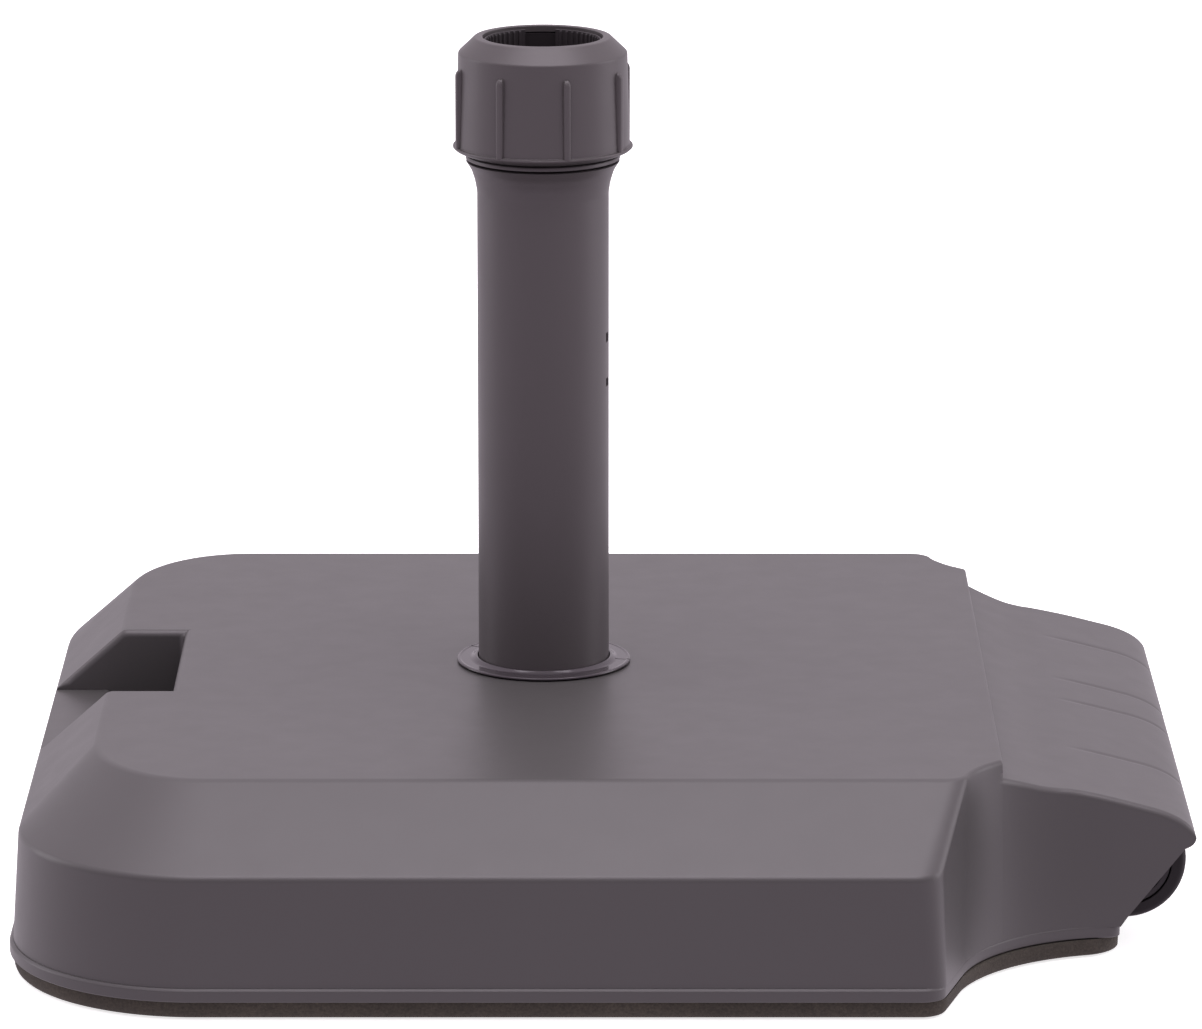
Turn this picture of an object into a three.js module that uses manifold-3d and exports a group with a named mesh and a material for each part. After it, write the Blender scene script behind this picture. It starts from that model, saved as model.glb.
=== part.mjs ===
// Parasol base: a concrete ballast block in a moulded cover shell, with a standpipe and a
// clamping nut for the pole, a carrying grip at the left end and a pair of rollers at the right.
// Millimetres, +Z up. The origin lies on the ground, under the standpipe's axis.

import * as THREE from 'three';
import { mergeVertices } from 'three/addons/utils/BufferGeometryUtils.js';
import Module from 'manifold-3d';

const wasm = await Module();
wasm.setup();

// ---------------------------------------------------------------- driving dimensions

const GAP = 0.3; // between pieces that touch
const WALL = 3; // moulded wall of the cover shell
const POUR_GAP = 0.8; // between the shell's wall and the concrete
const RAD = Math.PI / 180;

// Heights of the block.
const FOOT_TOP = 8; // concrete below the shell's rim
const RIM_TOP = 14;
const SHOULDER_Z = 62.4; // lower edge of the sloping border, and top of the grip bar
const DECK_Z = 91;

// Plan of the block at each of its levels.
const SLANT = 15.5 * RAD; // the right end's slanted wall, measured from the Y axis
const SLANT_THROUGH = [188, 210]; // a point of that wall at the rim
const SLANT_DRAFT = 0.06;
// Concave fillet between the slanted wall and the roller housing, which tightens evenly upwards.
const HOLLOW_AT_FOOT = 76;
const HOLLOW_AT_DECK = 52;
const hollowAt = (z) => HOLLOW_AT_FOOT
  + ((HOLLOW_AT_DECK - HOLLOW_AT_FOOT) * (z - RIM_TOP)) / (DECK_Z - RIM_TOP);
const HOUSING_HALF_WIDTH = 167.3;
const HOUSING_DRAFT = 0.078;
// The corners are [X, Y] radii; the rear left one is rounder below the deck.
const LEVELS = {
  foot: { left: 232.5, side: 261.5, front: [84, 84], rear: [120, 120], nose: 12, hollow: 84 },
  rim: { left: 234.2, side: 263.8, front: [85, 85], rear: [121, 121], nose: 9, hollow: 78 },
  base: {
    left: 232.6, side: 262.2, front: [84, 84], rear: [120, 120], nose: 8, hollow: HOLLOW_AT_FOOT,
  },
  shoulder: {
    left: 229.7, side: 259.7, front: [84, 84], rear: [120, 120], nose: 8, hollow: hollowAt(SHOULDER_Z),
  },
  deck: {
    left: 197.5, side: 204, front: [52.5, 62], rear: [52.5, 62], nose: 8, hollow: HOLLOW_AT_DECK,
  },
};

// Roller housing, seen from the front.
const RIDGE_X = 203; // right edge of the deck
const HOUSING_STEP_Z = 83;
const HOUSING_TOP = [[250, 71.3], [236, 74.2], [228.5, 75.2], [221, 76.7], [212, 79.7]];
const CROWN = [268, 66.7];
const NOSE = [289.5, 53.2];
const UNDERCUT_TOP = [284.6, 48];
const UNDERCUT_FOOT = [259.2, 17];
const LIP_X = 256.4;
const RIM_CORNER = 6; // corner at the end of the rim, and of the foot
const FOOT_CORNER = 20;

// Carrying grip.
const GRIP_HALF_WIDTH = 53;
const GRIP_INNER_X = 168.6;
const GRIP_BAR_X = 203; // inner side of the bar
const POCKET_FLOOR_Z = 24;

// Standpipe and its socket.
const PIPE_R = 30;
const PIPE_WALL = 2.6;
const PIPE_TOP = 326.2;
const PIPE_FOOT = 21;
const MOUTH_R = 35;
const FLARE_FROM = 308;
const SOCKET_R = 33.5;
const SOCKET_FOOT = 14;
const SOCKET_FLOOR = 6;
const DRAIN_R = 8;
const FLANGE_R = 40;
const FLANGE_TOP = 93.2;

// Clamp.
const COLLAR_FROM = 326.7;
const COLLAR_TOP = 329.6;
const COLLAR_R = 35.2;
const THREAD_R = 33.2;
const THREAD_TOP = 349;
const SLEEVE_R = 29.3;
const NUT_TOP = 383.2;
const NUT_FOOT = 329.9;
const NUT_R = 38.4;
const NUT_FLANGE_R = 41;
const NUT_MOUTH_R = 27.2;
const NUT_BORE_R = 33.6;
const RIB_COUNT = 8;
const RIB_TURN = 16.3 * RAD;
const RIB_R = 40.2;
const RIB_WIDTH = 3;
const RIB_TOP = 369.4;
const JAW_COUNT = 3;
const JAW_SPAN = 90 * RAD;
const JAW_INNER_R = 25.2;
const JAW_FOOT = 349.4;
const JAW_TOP = 379.4;
const JAW_LIP_R = 26.7; // thin lip that stands up inside the nut's mouth
const JAW_LIP_TOP = 381.6;
const CONE_FOOT_R = 31.6; // inside of the pressure ring at the jaws' foot
const CONE_TOP_R = 27.4;
const JAW_TURN = 33 * RAD;

// Rollers.
const AXLE_X = 259.5;
const AXLE_Z = 38.9;
const AXLE_R = 4;
const AXLE_HOLE_R = 4.4;
const AXLE_HALF = 160.4;
const AXLE_BOSS_R = 9;
const AXLE_BOSS_Y = 157; // inboard face of the boss on the housing's side wall
const AXLE_SLOT = 7.2; // snap-in slot, a little narrower than the axle
const WHEEL_R = 26.8;
const WHEEL_FACE_Y = 152;
const WHEEL_WIDTH = 30;
const HUB_R = 20;
const BAY_FACE_Y = 119; // outboard face of a bay's inner wall
const BAY_BACK_X = 214;

// ---------------------------------------------------------------- booleans

function toSolid(geometry) {
  const bare = geometry.clone();
  bare.deleteAttribute('normal');
  bare.deleteAttribute('uv');
  const merged = mergeVertices(bare, 1e-4);
  return new wasm.Manifold(
    new wasm.Mesh({
      numProp: 3,
      vertProperties: new Float32Array(merged.attributes.position.array),
      triVerts: new Uint32Array(merged.index.array),
    }),
  );
}

function toGeometry(solid) {
  const mesh = solid.getMesh();
  const geometry = new THREE.BufferGeometry();
  geometry.setAttribute('position', new THREE.BufferAttribute(mesh.vertProperties, 3));
  geometry.setIndex(new THREE.BufferAttribute(mesh.triVerts, 1));
  geometry.computeVertexNormals();
  return geometry;
}

const unite = (first, ...others) => others.reduce((whole, other) => whole.add(other), first);
const cut = (first, ...others) => others.reduce((whole, other) => whole.subtract(other), first);

// ---------------------------------------------------------------- basic solids

function box(x0, x1, y0, y1, z0, z1) {
  const geometry = new THREE.BoxGeometry(x1 - x0, y1 - y0, z1 - z0);
  geometry.translate((x0 + x1) / 2, (y0 + y1) / 2, (z0 + z1) / 2);
  return toSolid(geometry);
}

function cylinderZ(radius, z0, z1, segments = 32) {
  const geometry = new THREE.CylinderGeometry(radius, radius, z1 - z0, segments);
  geometry.rotateX(Math.PI / 2);
  geometry.translate(0, 0, (z0 + z1) / 2);
  return toSolid(geometry);
}

function cylinderY(radius, x, z, y0, y1, segments = 24) {
  const geometry = new THREE.CylinderGeometry(radius, radius, y1 - y0, segments);
  geometry.translate(x, (y0 + y1) / 2, z);
  return toSolid(geometry);
}

// A closed [radius, height] profile turned about the Z axis.
function turned(profile, segments = 32) {
  const points = [...profile, profile[0]].map(([r, z]) => new THREE.Vector2(r, z));
  const geometry = new THREE.LatheGeometry(points, segments);
  geometry.rotateX(Math.PI / 2);
  return toSolid(geometry);
}

// A closed [radius, y] profile turned about the axle's line.
function turnedOnAxle(profile, segments = 24) {
  const points = [...profile, profile[0]].map(([r, y]) => new THREE.Vector2(r, y));
  const geometry = new THREE.LatheGeometry(points, segments);
  geometry.translate(AXLE_X, 0, AXLE_Z);
  return toSolid(geometry);
}

// A shape drawn in X and Z, extruded along Y from y0 to y1.
function prism(shape, y0, y1, curveSegments = 5) {
  const geometry = new THREE.ExtrudeGeometry(shape, {
    depth: y1 - y0,
    bevelEnabled: false,
    curveSegments,
  });
  geometry.rotateX(Math.PI / 2);
  geometry.translate(0, y1, 0);
  return toSolid(geometry);
}

// ---------------------------------------------------------------- the block's outline

function arc(cx, cy, rx, ry, from, to, steps) {
  return Array.from({ length: steps + 1 }, (_, i) => {
    const angle = (from + ((to - from) * i) / steps) * RAD;
    return [cx + rx * Math.cos(angle), cy + ry * Math.sin(angle)];
  });
}

// Plan outline at height z, counterclockwise, shrunk all round by inset. It runs from the left
// corner along the front, over the slanted wall and the concave fillet into the housing's side,
// and ends at X = end, where a rim or foot has a corner that flows out of the fillet.
function outline(level, z, inset = 0, end = 300, endRadius = 0) {
  const rise = Math.max(z - RIM_TOP, 0);
  const left = -(level.left - inset);
  const front = -(level.side - inset);
  const nose = Math.max(level.nose - inset, 4);
  const hollow = level.hollow + inset;
  const side = -(HOUSING_HALF_WIDTH - HOUSING_DRAFT * rise - inset);
  const normal = [Math.cos(SLANT), -Math.sin(SLANT)];
  const reach = normal[0] * SLANT_THROUGH[0] - normal[1] * SLANT_THROUGH[1];
  const wall = reach - SLANT_DRAFT * rise - inset;
  const across = (offset, y) => (wall + offset + Math.sin(SLANT) * y) / Math.cos(SLANT);
  const slant = SLANT / RAD;
  const centre = [across(hollow, side - hollow), side - hollow];
  const cornerX = end - endRadius;
  const apart = Math.sqrt((hollow + endRadius) ** 2 - (cornerX - centre[0]) ** 2);
  const meet = Math.atan2(apart, cornerX - centre[0]) / RAD;
  const wallAndHousing = [
    ...arc(across(-nose, front + nose), front + nose, nose, nose, -90, -slant, 4),
    ...(endRadius > 0
      ? [
        ...arc(...centre, hollow, hollow, 180 - slant, meet, 6),
        ...arc(cornerX, centre[1] + apart, endRadius, endRadius, meet - 180, 0, 4),
      ]
      : [...arc(...centre, hollow, hollow, 180 - slant, 90, 6), [end, side]]),
  ];
  const half = (corner) => {
    const rx = corner[0] - inset;
    const ry = corner[1] - inset;
    return [...arc(left + rx, front + ry, rx, ry, 180, 270, 8), ...wallAndHousing];
  };
  return [...half(level.front), ...half(level.rear).map(([x, y]) => [x, -y]).reverse()];
}

// Ruled solid through outlines with the same number of points, each at its own height.
function loft(layers) {
  const count = layers[0].points.length;
  const positions = layers.flatMap(({ z, points }) => points.flatMap(([x, y]) => [x, y, z]));
  const index = [];
  for (let layer = 0; layer < layers.length - 1; layer += 1) {
    for (let i = 0; i < count; i += 1) {
      const next = (i + 1) % count;
      const a = layer * count + i;
      const b = layer * count + next;
      index.push(a, b, b + count, a, b + count, a + count);
    }
  }
  const flat = layers[0].points.map(([x, y]) => new THREE.Vector2(x, y));
  const top = (layers.length - 1) * count;
  const lidPoints = layers[layers.length - 1].points.map(([x, y]) => new THREE.Vector2(x, y));
  THREE.ShapeUtils.triangulateShape(flat, []).forEach(([a, b, c]) => index.push(c, b, a));
  THREE.ShapeUtils.triangulateShape(lidPoints, []).forEach(([a, b, c]) => {
    index.push(top + a, top + b, top + c);
  });
  const geometry = new THREE.BufferGeometry();
  geometry.setAttribute('position', new THREE.Float32BufferAttribute(positions, 3));
  geometry.setIndex(index);
  return toSolid(geometry);
}

const layer = (level, z, inset, end, endRadius) => ({
  z,
  points: outline(level, z, inset, end, endRadius),
});

// The block from z0 to the deck, shrunk all round by inset.
function blockLoft(z0, inset) {
  return loft([
    layer(LEVELS.base, z0, inset),
    layer(LEVELS.base, RIM_TOP, inset),
    layer(LEVELS.shoulder, SHOULDER_Z - inset * 0.4, inset),
    layer(LEVELS.deck, DECK_Z - inset, inset),
  ]);
}

// Front view of the block and its roller housing, shrunk by inset on the housing's side.
function housingProfile(inset) {
  const slope = Math.atan2(UNDERCUT_TOP[1] - UNDERCUT_FOOT[1], UNDERCUT_TOP[0] - UNDERCUT_FOOT[0]);
  const shift = [-inset * Math.sin(slope), inset * Math.cos(slope)];
  const shape = new THREE.Shape();
  shape.moveTo(-300, -10);
  shape.lineTo(LIP_X - inset, -10);
  shape.lineTo(LIP_X - inset, RIM_TOP + inset);
  shape.lineTo(UNDERCUT_FOOT[0] + shift[0], UNDERCUT_FOOT[1] + shift[1]);
  shape.lineTo(UNDERCUT_TOP[0] + shift[0], UNDERCUT_TOP[1] + shift[1]);
  shape.quadraticCurveTo(NOSE[0] - inset, NOSE[1] - 3.5, NOSE[0] - inset, NOSE[1]);
  shape.bezierCurveTo(
    NOSE[0] - 1.5 - inset,
    NOSE[1] + 6,
    CROWN[0] + 12 - inset / 2,
    CROWN[1] - 3 - inset,
    CROWN[0],
    CROWN[1] - inset,
  );
  HOUSING_TOP.forEach(([x, z]) => shape.lineTo(x, z - inset));
  shape.lineTo(RIDGE_X - inset, HOUSING_STEP_Z - inset);
  shape.lineTo(RIDGE_X - inset, DECK_Z + 5);
  shape.lineTo(-300, DECK_Z + 5);
  shape.closePath();
  return shape;
}

// ---------------------------------------------------------------- cover shell

// The mouth of one bay, cut through the slanted underside.
function bayMouth(sign) {
  const shape = new THREE.Shape();
  shape.moveTo(LIP_X - 12, RIM_TOP - 8);
  shape.lineTo(LIP_X + 20, RIM_TOP - 8);
  shape.lineTo(NOSE[0] + 20, UNDERCUT_TOP[1] + 1);
  shape.lineTo(UNDERCUT_TOP[0] - 2.5, UNDERCUT_TOP[1] + 1);
  shape.closePath();
  const near = sign * BAY_FACE_Y;
  const far = sign * (HOUSING_HALF_WIDTH - WALL - 2);
  return prism(shape, Math.min(near, far), Math.max(near, far));
}

// Snap-in slot from the axle's hole out through the slanted underside, between y0 and y1.
function axleSlot(y0, y1) {
  const slope = Math.atan2(UNDERCUT_TOP[1] - UNDERCUT_FOOT[1], UNDERCUT_TOP[0] - UNDERCUT_FOOT[0]);
  const geometry = new THREE.BoxGeometry(40, y1 - y0, AXLE_SLOT);
  geometry.translate(20, 0, 0);
  geometry.rotateY(Math.PI / 2 - slope);
  geometry.translate(AXLE_X, (y0 + y1) / 2, AXLE_Z);
  return toSolid(geometry);
}

// A wall across the housing, between y0 and y1, that closes a bay and carries the axle.
function bayWall(y0, y1, inner) {
  return box(BAY_BACK_X - WALL, 300, y0, y1, FOOT_TOP + 1, DECK_Z).intersect(inner);
}

function coverShell() {
  const rim = loft([
    layer(LEVELS.rim, FOOT_TOP, 0, LIP_X, RIM_CORNER),
    layer(LEVELS.rim, RIM_TOP, 0, LIP_X, RIM_CORNER),
  ]);
  const outer = unite(blockLoft(RIM_TOP - 1, 0), rim).intersect(prism(housingProfile(0), -300, 300));
  const inner = blockLoft(-1, WALL).intersect(prism(housingProfile(WALL), -300, 300));
  const fill = blockLoft(FOOT_TOP, WALL / 2).intersect(prism(housingProfile(WALL / 2), -300, 300));

  let shell = cut(outer, inner);
  [-1, 1].forEach((sign) => {
    const wall = [sign * BAY_FACE_Y, sign * (BAY_FACE_Y - WALL)].sort((a, b) => a - b);
    const back = [sign * BAY_FACE_Y, sign * HOUSING_HALF_WIDTH].sort((a, b) => a - b);
    const boss = [sign * AXLE_BOSS_Y, sign * HOUSING_HALF_WIDTH].sort((a, b) => a - b);
    const slot = [sign * (BAY_FACE_Y - WALL - 1), sign * (AXLE_HALF + 0.8)].sort((a, b) => a - b);
    const room = [sign * BAY_FACE_Y, sign * (AXLE_BOSS_Y - 1)].sort((a, b) => a - b);
    shell = unite(
      shell,
      bayWall(wall[0], wall[1], fill),
      box(BAY_BACK_X - WALL, BAY_BACK_X, back[0], back[1], FOOT_TOP + 1, DECK_Z).intersect(fill),
      box(BAY_BACK_X - WALL, 300, back[0], back[1], FOOT_TOP + 1, FOOT_TOP + 2.5).intersect(fill),
      cylinderY(AXLE_BOSS_R, AXLE_X, AXLE_Z, boss[0], boss[1]).intersect(fill),
    );
    shell = cut(
      shell,
      bayMouth(sign),
      cylinderY(WHEEL_R + 1, AXLE_X, AXLE_Z, room[0], room[1], 48),
      axleSlot(slot[0], slot[1]),
    );
  });

  // The grip: a notch over the bar, and behind the bar a pocket for the fingers.
  const trough = box(-300, -GRIP_INNER_X + WALL, -GRIP_HALF_WIDTH - WALL, GRIP_HALF_WIDTH + WALL,
    SHOULDER_Z - WALL, DECK_Z).intersect(fill);
  const pocketWalls = box(-GRIP_BAR_X - WALL, -GRIP_INNER_X + WALL, -GRIP_HALF_WIDTH - WALL,
    GRIP_HALF_WIDTH + WALL, POCKET_FLOOR_Z - WALL, DECK_Z).intersect(fill);
  shell = cut(
    unite(shell, trough, pocketWalls),
    box(-300, -GRIP_INNER_X, -GRIP_HALF_WIDTH, GRIP_HALF_WIDTH, SHOULDER_Z, DECK_Z + 5),
    box(-GRIP_BAR_X, -GRIP_INNER_X, -GRIP_HALF_WIDTH, GRIP_HALF_WIDTH, POCKET_FLOOR_Z, DECK_Z + 5),
    cylinderZ(SOCKET_R + GAP, DECK_Z - 10, DECK_Z + 5),
    cylinderY(AXLE_HOLE_R, AXLE_X, AXLE_Z, -AXLE_HALF - 0.8, AXLE_HALF + 0.8),
  );
  return shell;
}

// ---------------------------------------------------------------- concrete ballast

function concreteCore() {
  const inset = WALL + POUR_GAP;
  const body = blockLoft(FOOT_TOP, inset).intersect(
    box(-300, BAY_BACK_X - WALL - GAP, -300, 300, 0, HOUSING_STEP_Z - inset - 2.5),
  );
  const crown = blockLoft(FOOT_TOP, inset).intersect(
    box(-300, RIDGE_X - inset, -300, 300, FOOT_TOP, DECK_Z),
  );
  const foot = loft([
    layer(LEVELS.foot, 0, 2.5, LIP_X, FOOT_CORNER),
    layer(LEVELS.foot, 2.5, 0.4, LIP_X, FOOT_CORNER),
    layer(LEVELS.foot, FOOT_TOP - GAP, 0, LIP_X, FOOT_CORNER),
  ]);
  const neckEnd = LIP_X - inset - WALL; // stays within the foot's rounded end
  const neck = loft([
    layer(LEVELS.base, FOOT_TOP - 2, inset),
    layer(LEVELS.base, FOOT_TOP + 1 - GAP, inset),
  ]).intersect(box(-300, neckEnd, -300, 300, 0, FOOT_TOP + 1));
  const pocket = box(-GRIP_BAR_X - inset, -GRIP_INNER_X + inset, -GRIP_HALF_WIDTH - inset,
    GRIP_HALF_WIDTH + inset, POCKET_FLOOR_Z - inset, DECK_Z);
  const trough = box(-300, -GRIP_INNER_X + inset, -GRIP_HALF_WIDTH - inset,
    GRIP_HALF_WIDTH + inset, SHOULDER_Z - inset, DECK_Z);
  return cut(
    unite(body, crown, foot, neck),
    pocket,
    trough,
    cylinderZ(SOCKET_R + GAP, SOCKET_FOOT - GAP, DECK_Z),
  );
}

// ---------------------------------------------------------------- socket and standpipe

// The sleeve cast into the concrete: it has a floor for the pipe to stand on, with a drain hole.
function pipeSocket() {
  return turned([
    [PIPE_R + GAP, DECK_Z],
    [PIPE_R + GAP, SOCKET_FOOT + SOCKET_FLOOR],
    [DRAIN_R, SOCKET_FOOT + SOCKET_FLOOR],
    [DRAIN_R, SOCKET_FOOT],
    [SOCKET_R, SOCKET_FOOT],
    [SOCKET_R, DECK_Z],
  ]);
}

// The cover ring on the deck around the pipe's foot, with a raised bead along its bore.
function flangeRing() {
  return turned([
    [PIPE_R + GAP, DECK_Z + GAP],
    [FLANGE_R - 0.6, DECK_Z + GAP],
    [FLANGE_R, DECK_Z + 0.8],
    [FLANGE_R - 0.6, FLANGE_TOP - 0.8],
    [PIPE_R + 3.2, FLANGE_TOP - 0.8],
    [PIPE_R + 2.4, FLANGE_TOP],
    [PIPE_R + 1, FLANGE_TOP],
    [PIPE_R + GAP, FLANGE_TOP - 0.6],
  ]);
}

function standpipe() {
  const inner = PIPE_R - PIPE_WALL;
  return turned([
    [inner, PIPE_FOOT],
    [PIPE_R, PIPE_FOOT],
    [PIPE_R, FLARE_FROM],
    [PIPE_R + 0.6, FLARE_FROM + 6],
    [PIPE_R + 2.2, FLARE_FROM + 12],
    [MOUTH_R - 0.4, PIPE_TOP - 1.4],
    [MOUTH_R, PIPE_TOP],
    [SLEEVE_R + GAP, PIPE_TOP],
    [SLEEVE_R + GAP, FLARE_FROM - 4],
    [inner, FLARE_FROM - 6],
  ]);
}

// ---------------------------------------------------------------- clamp

// The threaded sleeve, plugged into the pipe's mouth: a collar, the nut's thread, and below
// them the plug.
function threadSleeve() {
  const bore = NUT_MOUTH_R;
  const pitch = 4;
  const crests = [];
  for (let z = COLLAR_TOP + 3; z < THREAD_TOP - pitch; z += pitch) {
    crests.push([THREAD_R - 1.2, z], [THREAD_R, z + 1], [THREAD_R, z + 2], [THREAD_R - 1.2, z + 3]);
  }
  return turned([
    [bore, FLARE_FROM - 3.6],
    [SLEEVE_R, FLARE_FROM - 3.6],
    [SLEEVE_R, COLLAR_FROM],
    [COLLAR_R, COLLAR_FROM],
    [COLLAR_R, COLLAR_TOP - 0.8],
    [COLLAR_R - 0.8, COLLAR_TOP],
    [THREAD_R - 1.2, COLLAR_TOP],
    ...crests,
    [THREAD_R - 1.2, THREAD_TOP],
    [bore, THREAD_TOP],
  ]);
}

function clampNut() {
  const body = turned([
    [NUT_BORE_R, NUT_FOOT],
    [MOUTH_R + 1.2, NUT_FOOT],
    [NUT_FLANGE_R - 1, NUT_FOOT + 1.6],
    [NUT_FLANGE_R, NUT_FOOT + 2.6],
    [NUT_FLANGE_R - 0.5, NUT_FOOT + 3.9],
    [NUT_R + 0.7, NUT_FOOT + 4.3],
    [NUT_R, NUT_TOP - 7.6],
    [NUT_R - 0.5, NUT_TOP - 6.6],
    [NUT_R - 6.2, NUT_TOP - 1.5],
    [NUT_R - 7.4, NUT_TOP - 0.5],
    [NUT_MOUTH_R + 1.4, NUT_TOP],
    [NUT_MOUTH_R, NUT_TOP - 0.8],
    [NUT_MOUTH_R, NUT_TOP - 3.2],
    [NUT_BORE_R, NUT_TOP - 3.2],
  ]);
  const ribs = Array.from({ length: RIB_COUNT }, (_, i) => {
    const geometry = new THREE.BoxGeometry(3, RIB_WIDTH, RIB_TOP - NUT_FOOT - 3);
    geometry.translate(RIB_R - 1.5, 0, (RIB_TOP + NUT_FOOT + 3) / 2);
    geometry.rotateZ(RIB_TURN + (i * 2 * Math.PI) / RIB_COUNT);
    return toSolid(geometry);
  });
  return unite(body, ...ribs);
}

// Ring inside the nut with a conical bore, that presses the jaws inwards.
function pressureRing() {
  return turned([
    [CONE_FOOT_R, JAW_FOOT + GAP],
    [NUT_BORE_R - GAP, JAW_FOOT + GAP],
    [NUT_BORE_R - GAP, NUT_TOP - 3.6],
    [CONE_TOP_R + GAP, NUT_TOP - 3.6],
  ]);
}

// One clamping jaw: a sector of a cone with gripping ribs on its inner face.
function clampJaw(number) {
  const cone = turned([
    [JAW_INNER_R, JAW_FOOT],
    [CONE_FOOT_R - GAP, JAW_FOOT],
    [CONE_FOOT_R - GAP, JAW_FOOT + GAP],
    [CONE_TOP_R, JAW_TOP - GAP],
    [JAW_LIP_R, JAW_TOP],
    [JAW_LIP_R, JAW_LIP_TOP],
    [JAW_INNER_R + 0.6, JAW_LIP_TOP],
    [JAW_INNER_R, JAW_TOP - 0.8],
  ], 36);
  const sector = new THREE.Shape();
  sector.moveTo(0, 0);
  sector.lineTo(50 * Math.cos(-JAW_SPAN / 2), 50 * Math.sin(-JAW_SPAN / 2));
  sector.lineTo(75, 0);
  sector.lineTo(50 * Math.cos(JAW_SPAN / 2), 50 * Math.sin(JAW_SPAN / 2));
  sector.closePath();
  const wedge = new THREE.ExtrudeGeometry(sector, { depth: 60, bevelEnabled: false });
  wedge.translate(0, 0, JAW_FOOT - 10);
  wedge.rotateZ(JAW_TURN + (number * 2 * Math.PI) / JAW_COUNT);
  return cone.intersect(toSolid(wedge));
}

// ---------------------------------------------------------------- rollers

const axle = () => cylinderY(AXLE_R, AXLE_X, AXLE_Z, -AXLE_HALF, AXLE_HALF);

function hub(sign) {
  const face = sign * WHEEL_FACE_Y;
  const inside = sign * (WHEEL_FACE_Y - WHEEL_WIDTH);
  const recess = sign * 5;
  return turnedOnAxle(orient([
    [AXLE_R + 0.35, inside],
    [9, inside],
    [9, inside + recess],
    [HUB_R - 2.5, inside + recess],
    [HUB_R - 2.5, inside + sign * 1],
    [HUB_R, inside + sign * 1],
    [HUB_R, face - sign * 1],
    [HUB_R - 2.5, face - sign * 1],
    [HUB_R - 2.5, face - recess],
    [9, face - recess],
    [9, face],
    [AXLE_R + 0.35, face],
  ], sign));
}

function tyre(sign) {
  const face = sign * WHEEL_FACE_Y;
  const inside = sign * (WHEEL_FACE_Y - WHEEL_WIDTH);
  return turnedOnAxle(orient([
    [HUB_R + GAP, inside],
    [WHEEL_R - 2, inside],
    [WHEEL_R, inside + sign * 2],
    [WHEEL_R, face - sign * 2],
    [WHEEL_R - 2, face],
    [HUB_R + GAP, face],
  ], sign));
}

// Washer on the axle, from y0 to y1.
function washer(y0, y1) {
  return turnedOnAxle([
    [AXLE_R + 0.35, y0],
    [8.5, y0],
    [8.5, y1],
    [AXLE_R + 0.35, y1],
  ]);
}

// A profile listed from the inboard side runs clockwise on the other side, so it is reversed.
function orient(profile, sign) {
  return sign > 0 ? profile : [...profile].reverse();
}

// ---------------------------------------------------------------- assembly

const group = new THREE.Group();

function add(name, solid, color, roughness, metalness = 0) {
  const material = new THREE.MeshStandardMaterial({ color, roughness, metalness });
  const mesh = new THREE.Mesh(toGeometry(solid), material);
  mesh.name = name;
  group.add(mesh);
}

const SHELL_GREY = '#7d797c';
const PIPE_GREY = '#4f4c4e';
const INNER_GREY = '#3c3a3b';
const CONCRETE = '#857c70';
const BLACK = '#1b1918';
const STEEL = '#9a9a9a';

add('cover_shell', coverShell(), SHELL_GREY, 0.45);
add('concrete_core', concreteCore(), CONCRETE, 0.95);
add('pipe_socket', pipeSocket(), INNER_GREY, 0.5);
add('flange_ring', flangeRing(), PIPE_GREY, 0.3);
add('standpipe', standpipe(), PIPE_GREY, 0.45);
add('thread_sleeve', threadSleeve(), PIPE_GREY, 0.45);
add('clamp_nut', clampNut(), PIPE_GREY, 0.45);
add('pressure_ring', pressureRing(), INNER_GREY, 0.5);
for (let number = 0; number < JAW_COUNT; number += 1) {
  add(`clamp_jaw_${number + 1}`, clampJaw(number), INNER_GREY, 0.5);
}
add('axle', axle(), STEEL, 0.3, 1);
[['front', -1], ['rear', 1]].forEach(([end, sign]) => {
  const inside = sign * (WHEEL_FACE_Y - WHEEL_WIDTH);
  add(`wheel_hub_${end}`, hub(sign), BLACK, 0.5);
  add(`tyre_${end}`, tyre(sign), BLACK, 0.8);
  const inner = [sign * (BAY_FACE_Y + GAP), inside - sign * GAP].sort((a, b) => a - b);
  const outer = [sign * (WHEEL_FACE_Y + GAP), sign * (AXLE_BOSS_Y - GAP)].sort((a, b) => a - b);
  add(`inner_washer_${end}`, washer(...inner), STEEL, 0.4, 1);
  add(`outer_washer_${end}`, washer(...outer), STEEL, 0.4, 1);
});

export default group;
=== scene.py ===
"""Parasol base: the looks of every piece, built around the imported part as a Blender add-on."""

import math

import bmesh
import bpy
from bpy.props import FloatProperty, FloatVectorProperty, IntProperty, PointerProperty, StringProperty
from mathutils import Matrix, Vector


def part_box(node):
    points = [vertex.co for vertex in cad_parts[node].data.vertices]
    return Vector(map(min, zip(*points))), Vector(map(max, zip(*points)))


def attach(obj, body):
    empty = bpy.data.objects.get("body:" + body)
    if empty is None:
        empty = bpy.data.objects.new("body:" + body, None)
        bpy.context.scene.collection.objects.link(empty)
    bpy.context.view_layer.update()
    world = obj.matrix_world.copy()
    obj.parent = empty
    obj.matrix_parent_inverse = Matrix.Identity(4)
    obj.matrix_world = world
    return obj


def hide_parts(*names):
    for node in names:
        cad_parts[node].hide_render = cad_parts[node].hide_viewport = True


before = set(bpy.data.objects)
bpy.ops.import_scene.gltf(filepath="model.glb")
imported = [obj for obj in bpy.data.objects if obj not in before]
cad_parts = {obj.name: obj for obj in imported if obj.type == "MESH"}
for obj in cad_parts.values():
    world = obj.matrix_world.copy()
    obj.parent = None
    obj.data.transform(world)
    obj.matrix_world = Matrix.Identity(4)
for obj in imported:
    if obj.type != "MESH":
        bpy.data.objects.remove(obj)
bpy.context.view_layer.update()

bl_info = {
    "name": "Parasol base",
    "version": (1, 0, 0),
    "blender": (4, 5, 0),
    "location": "3D View > Sidebar > Parasol base",
    "description": "Builds the shell, foot, standpipe, clamp and rollers of a parasol base",
    "category": "Object",
}

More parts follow.
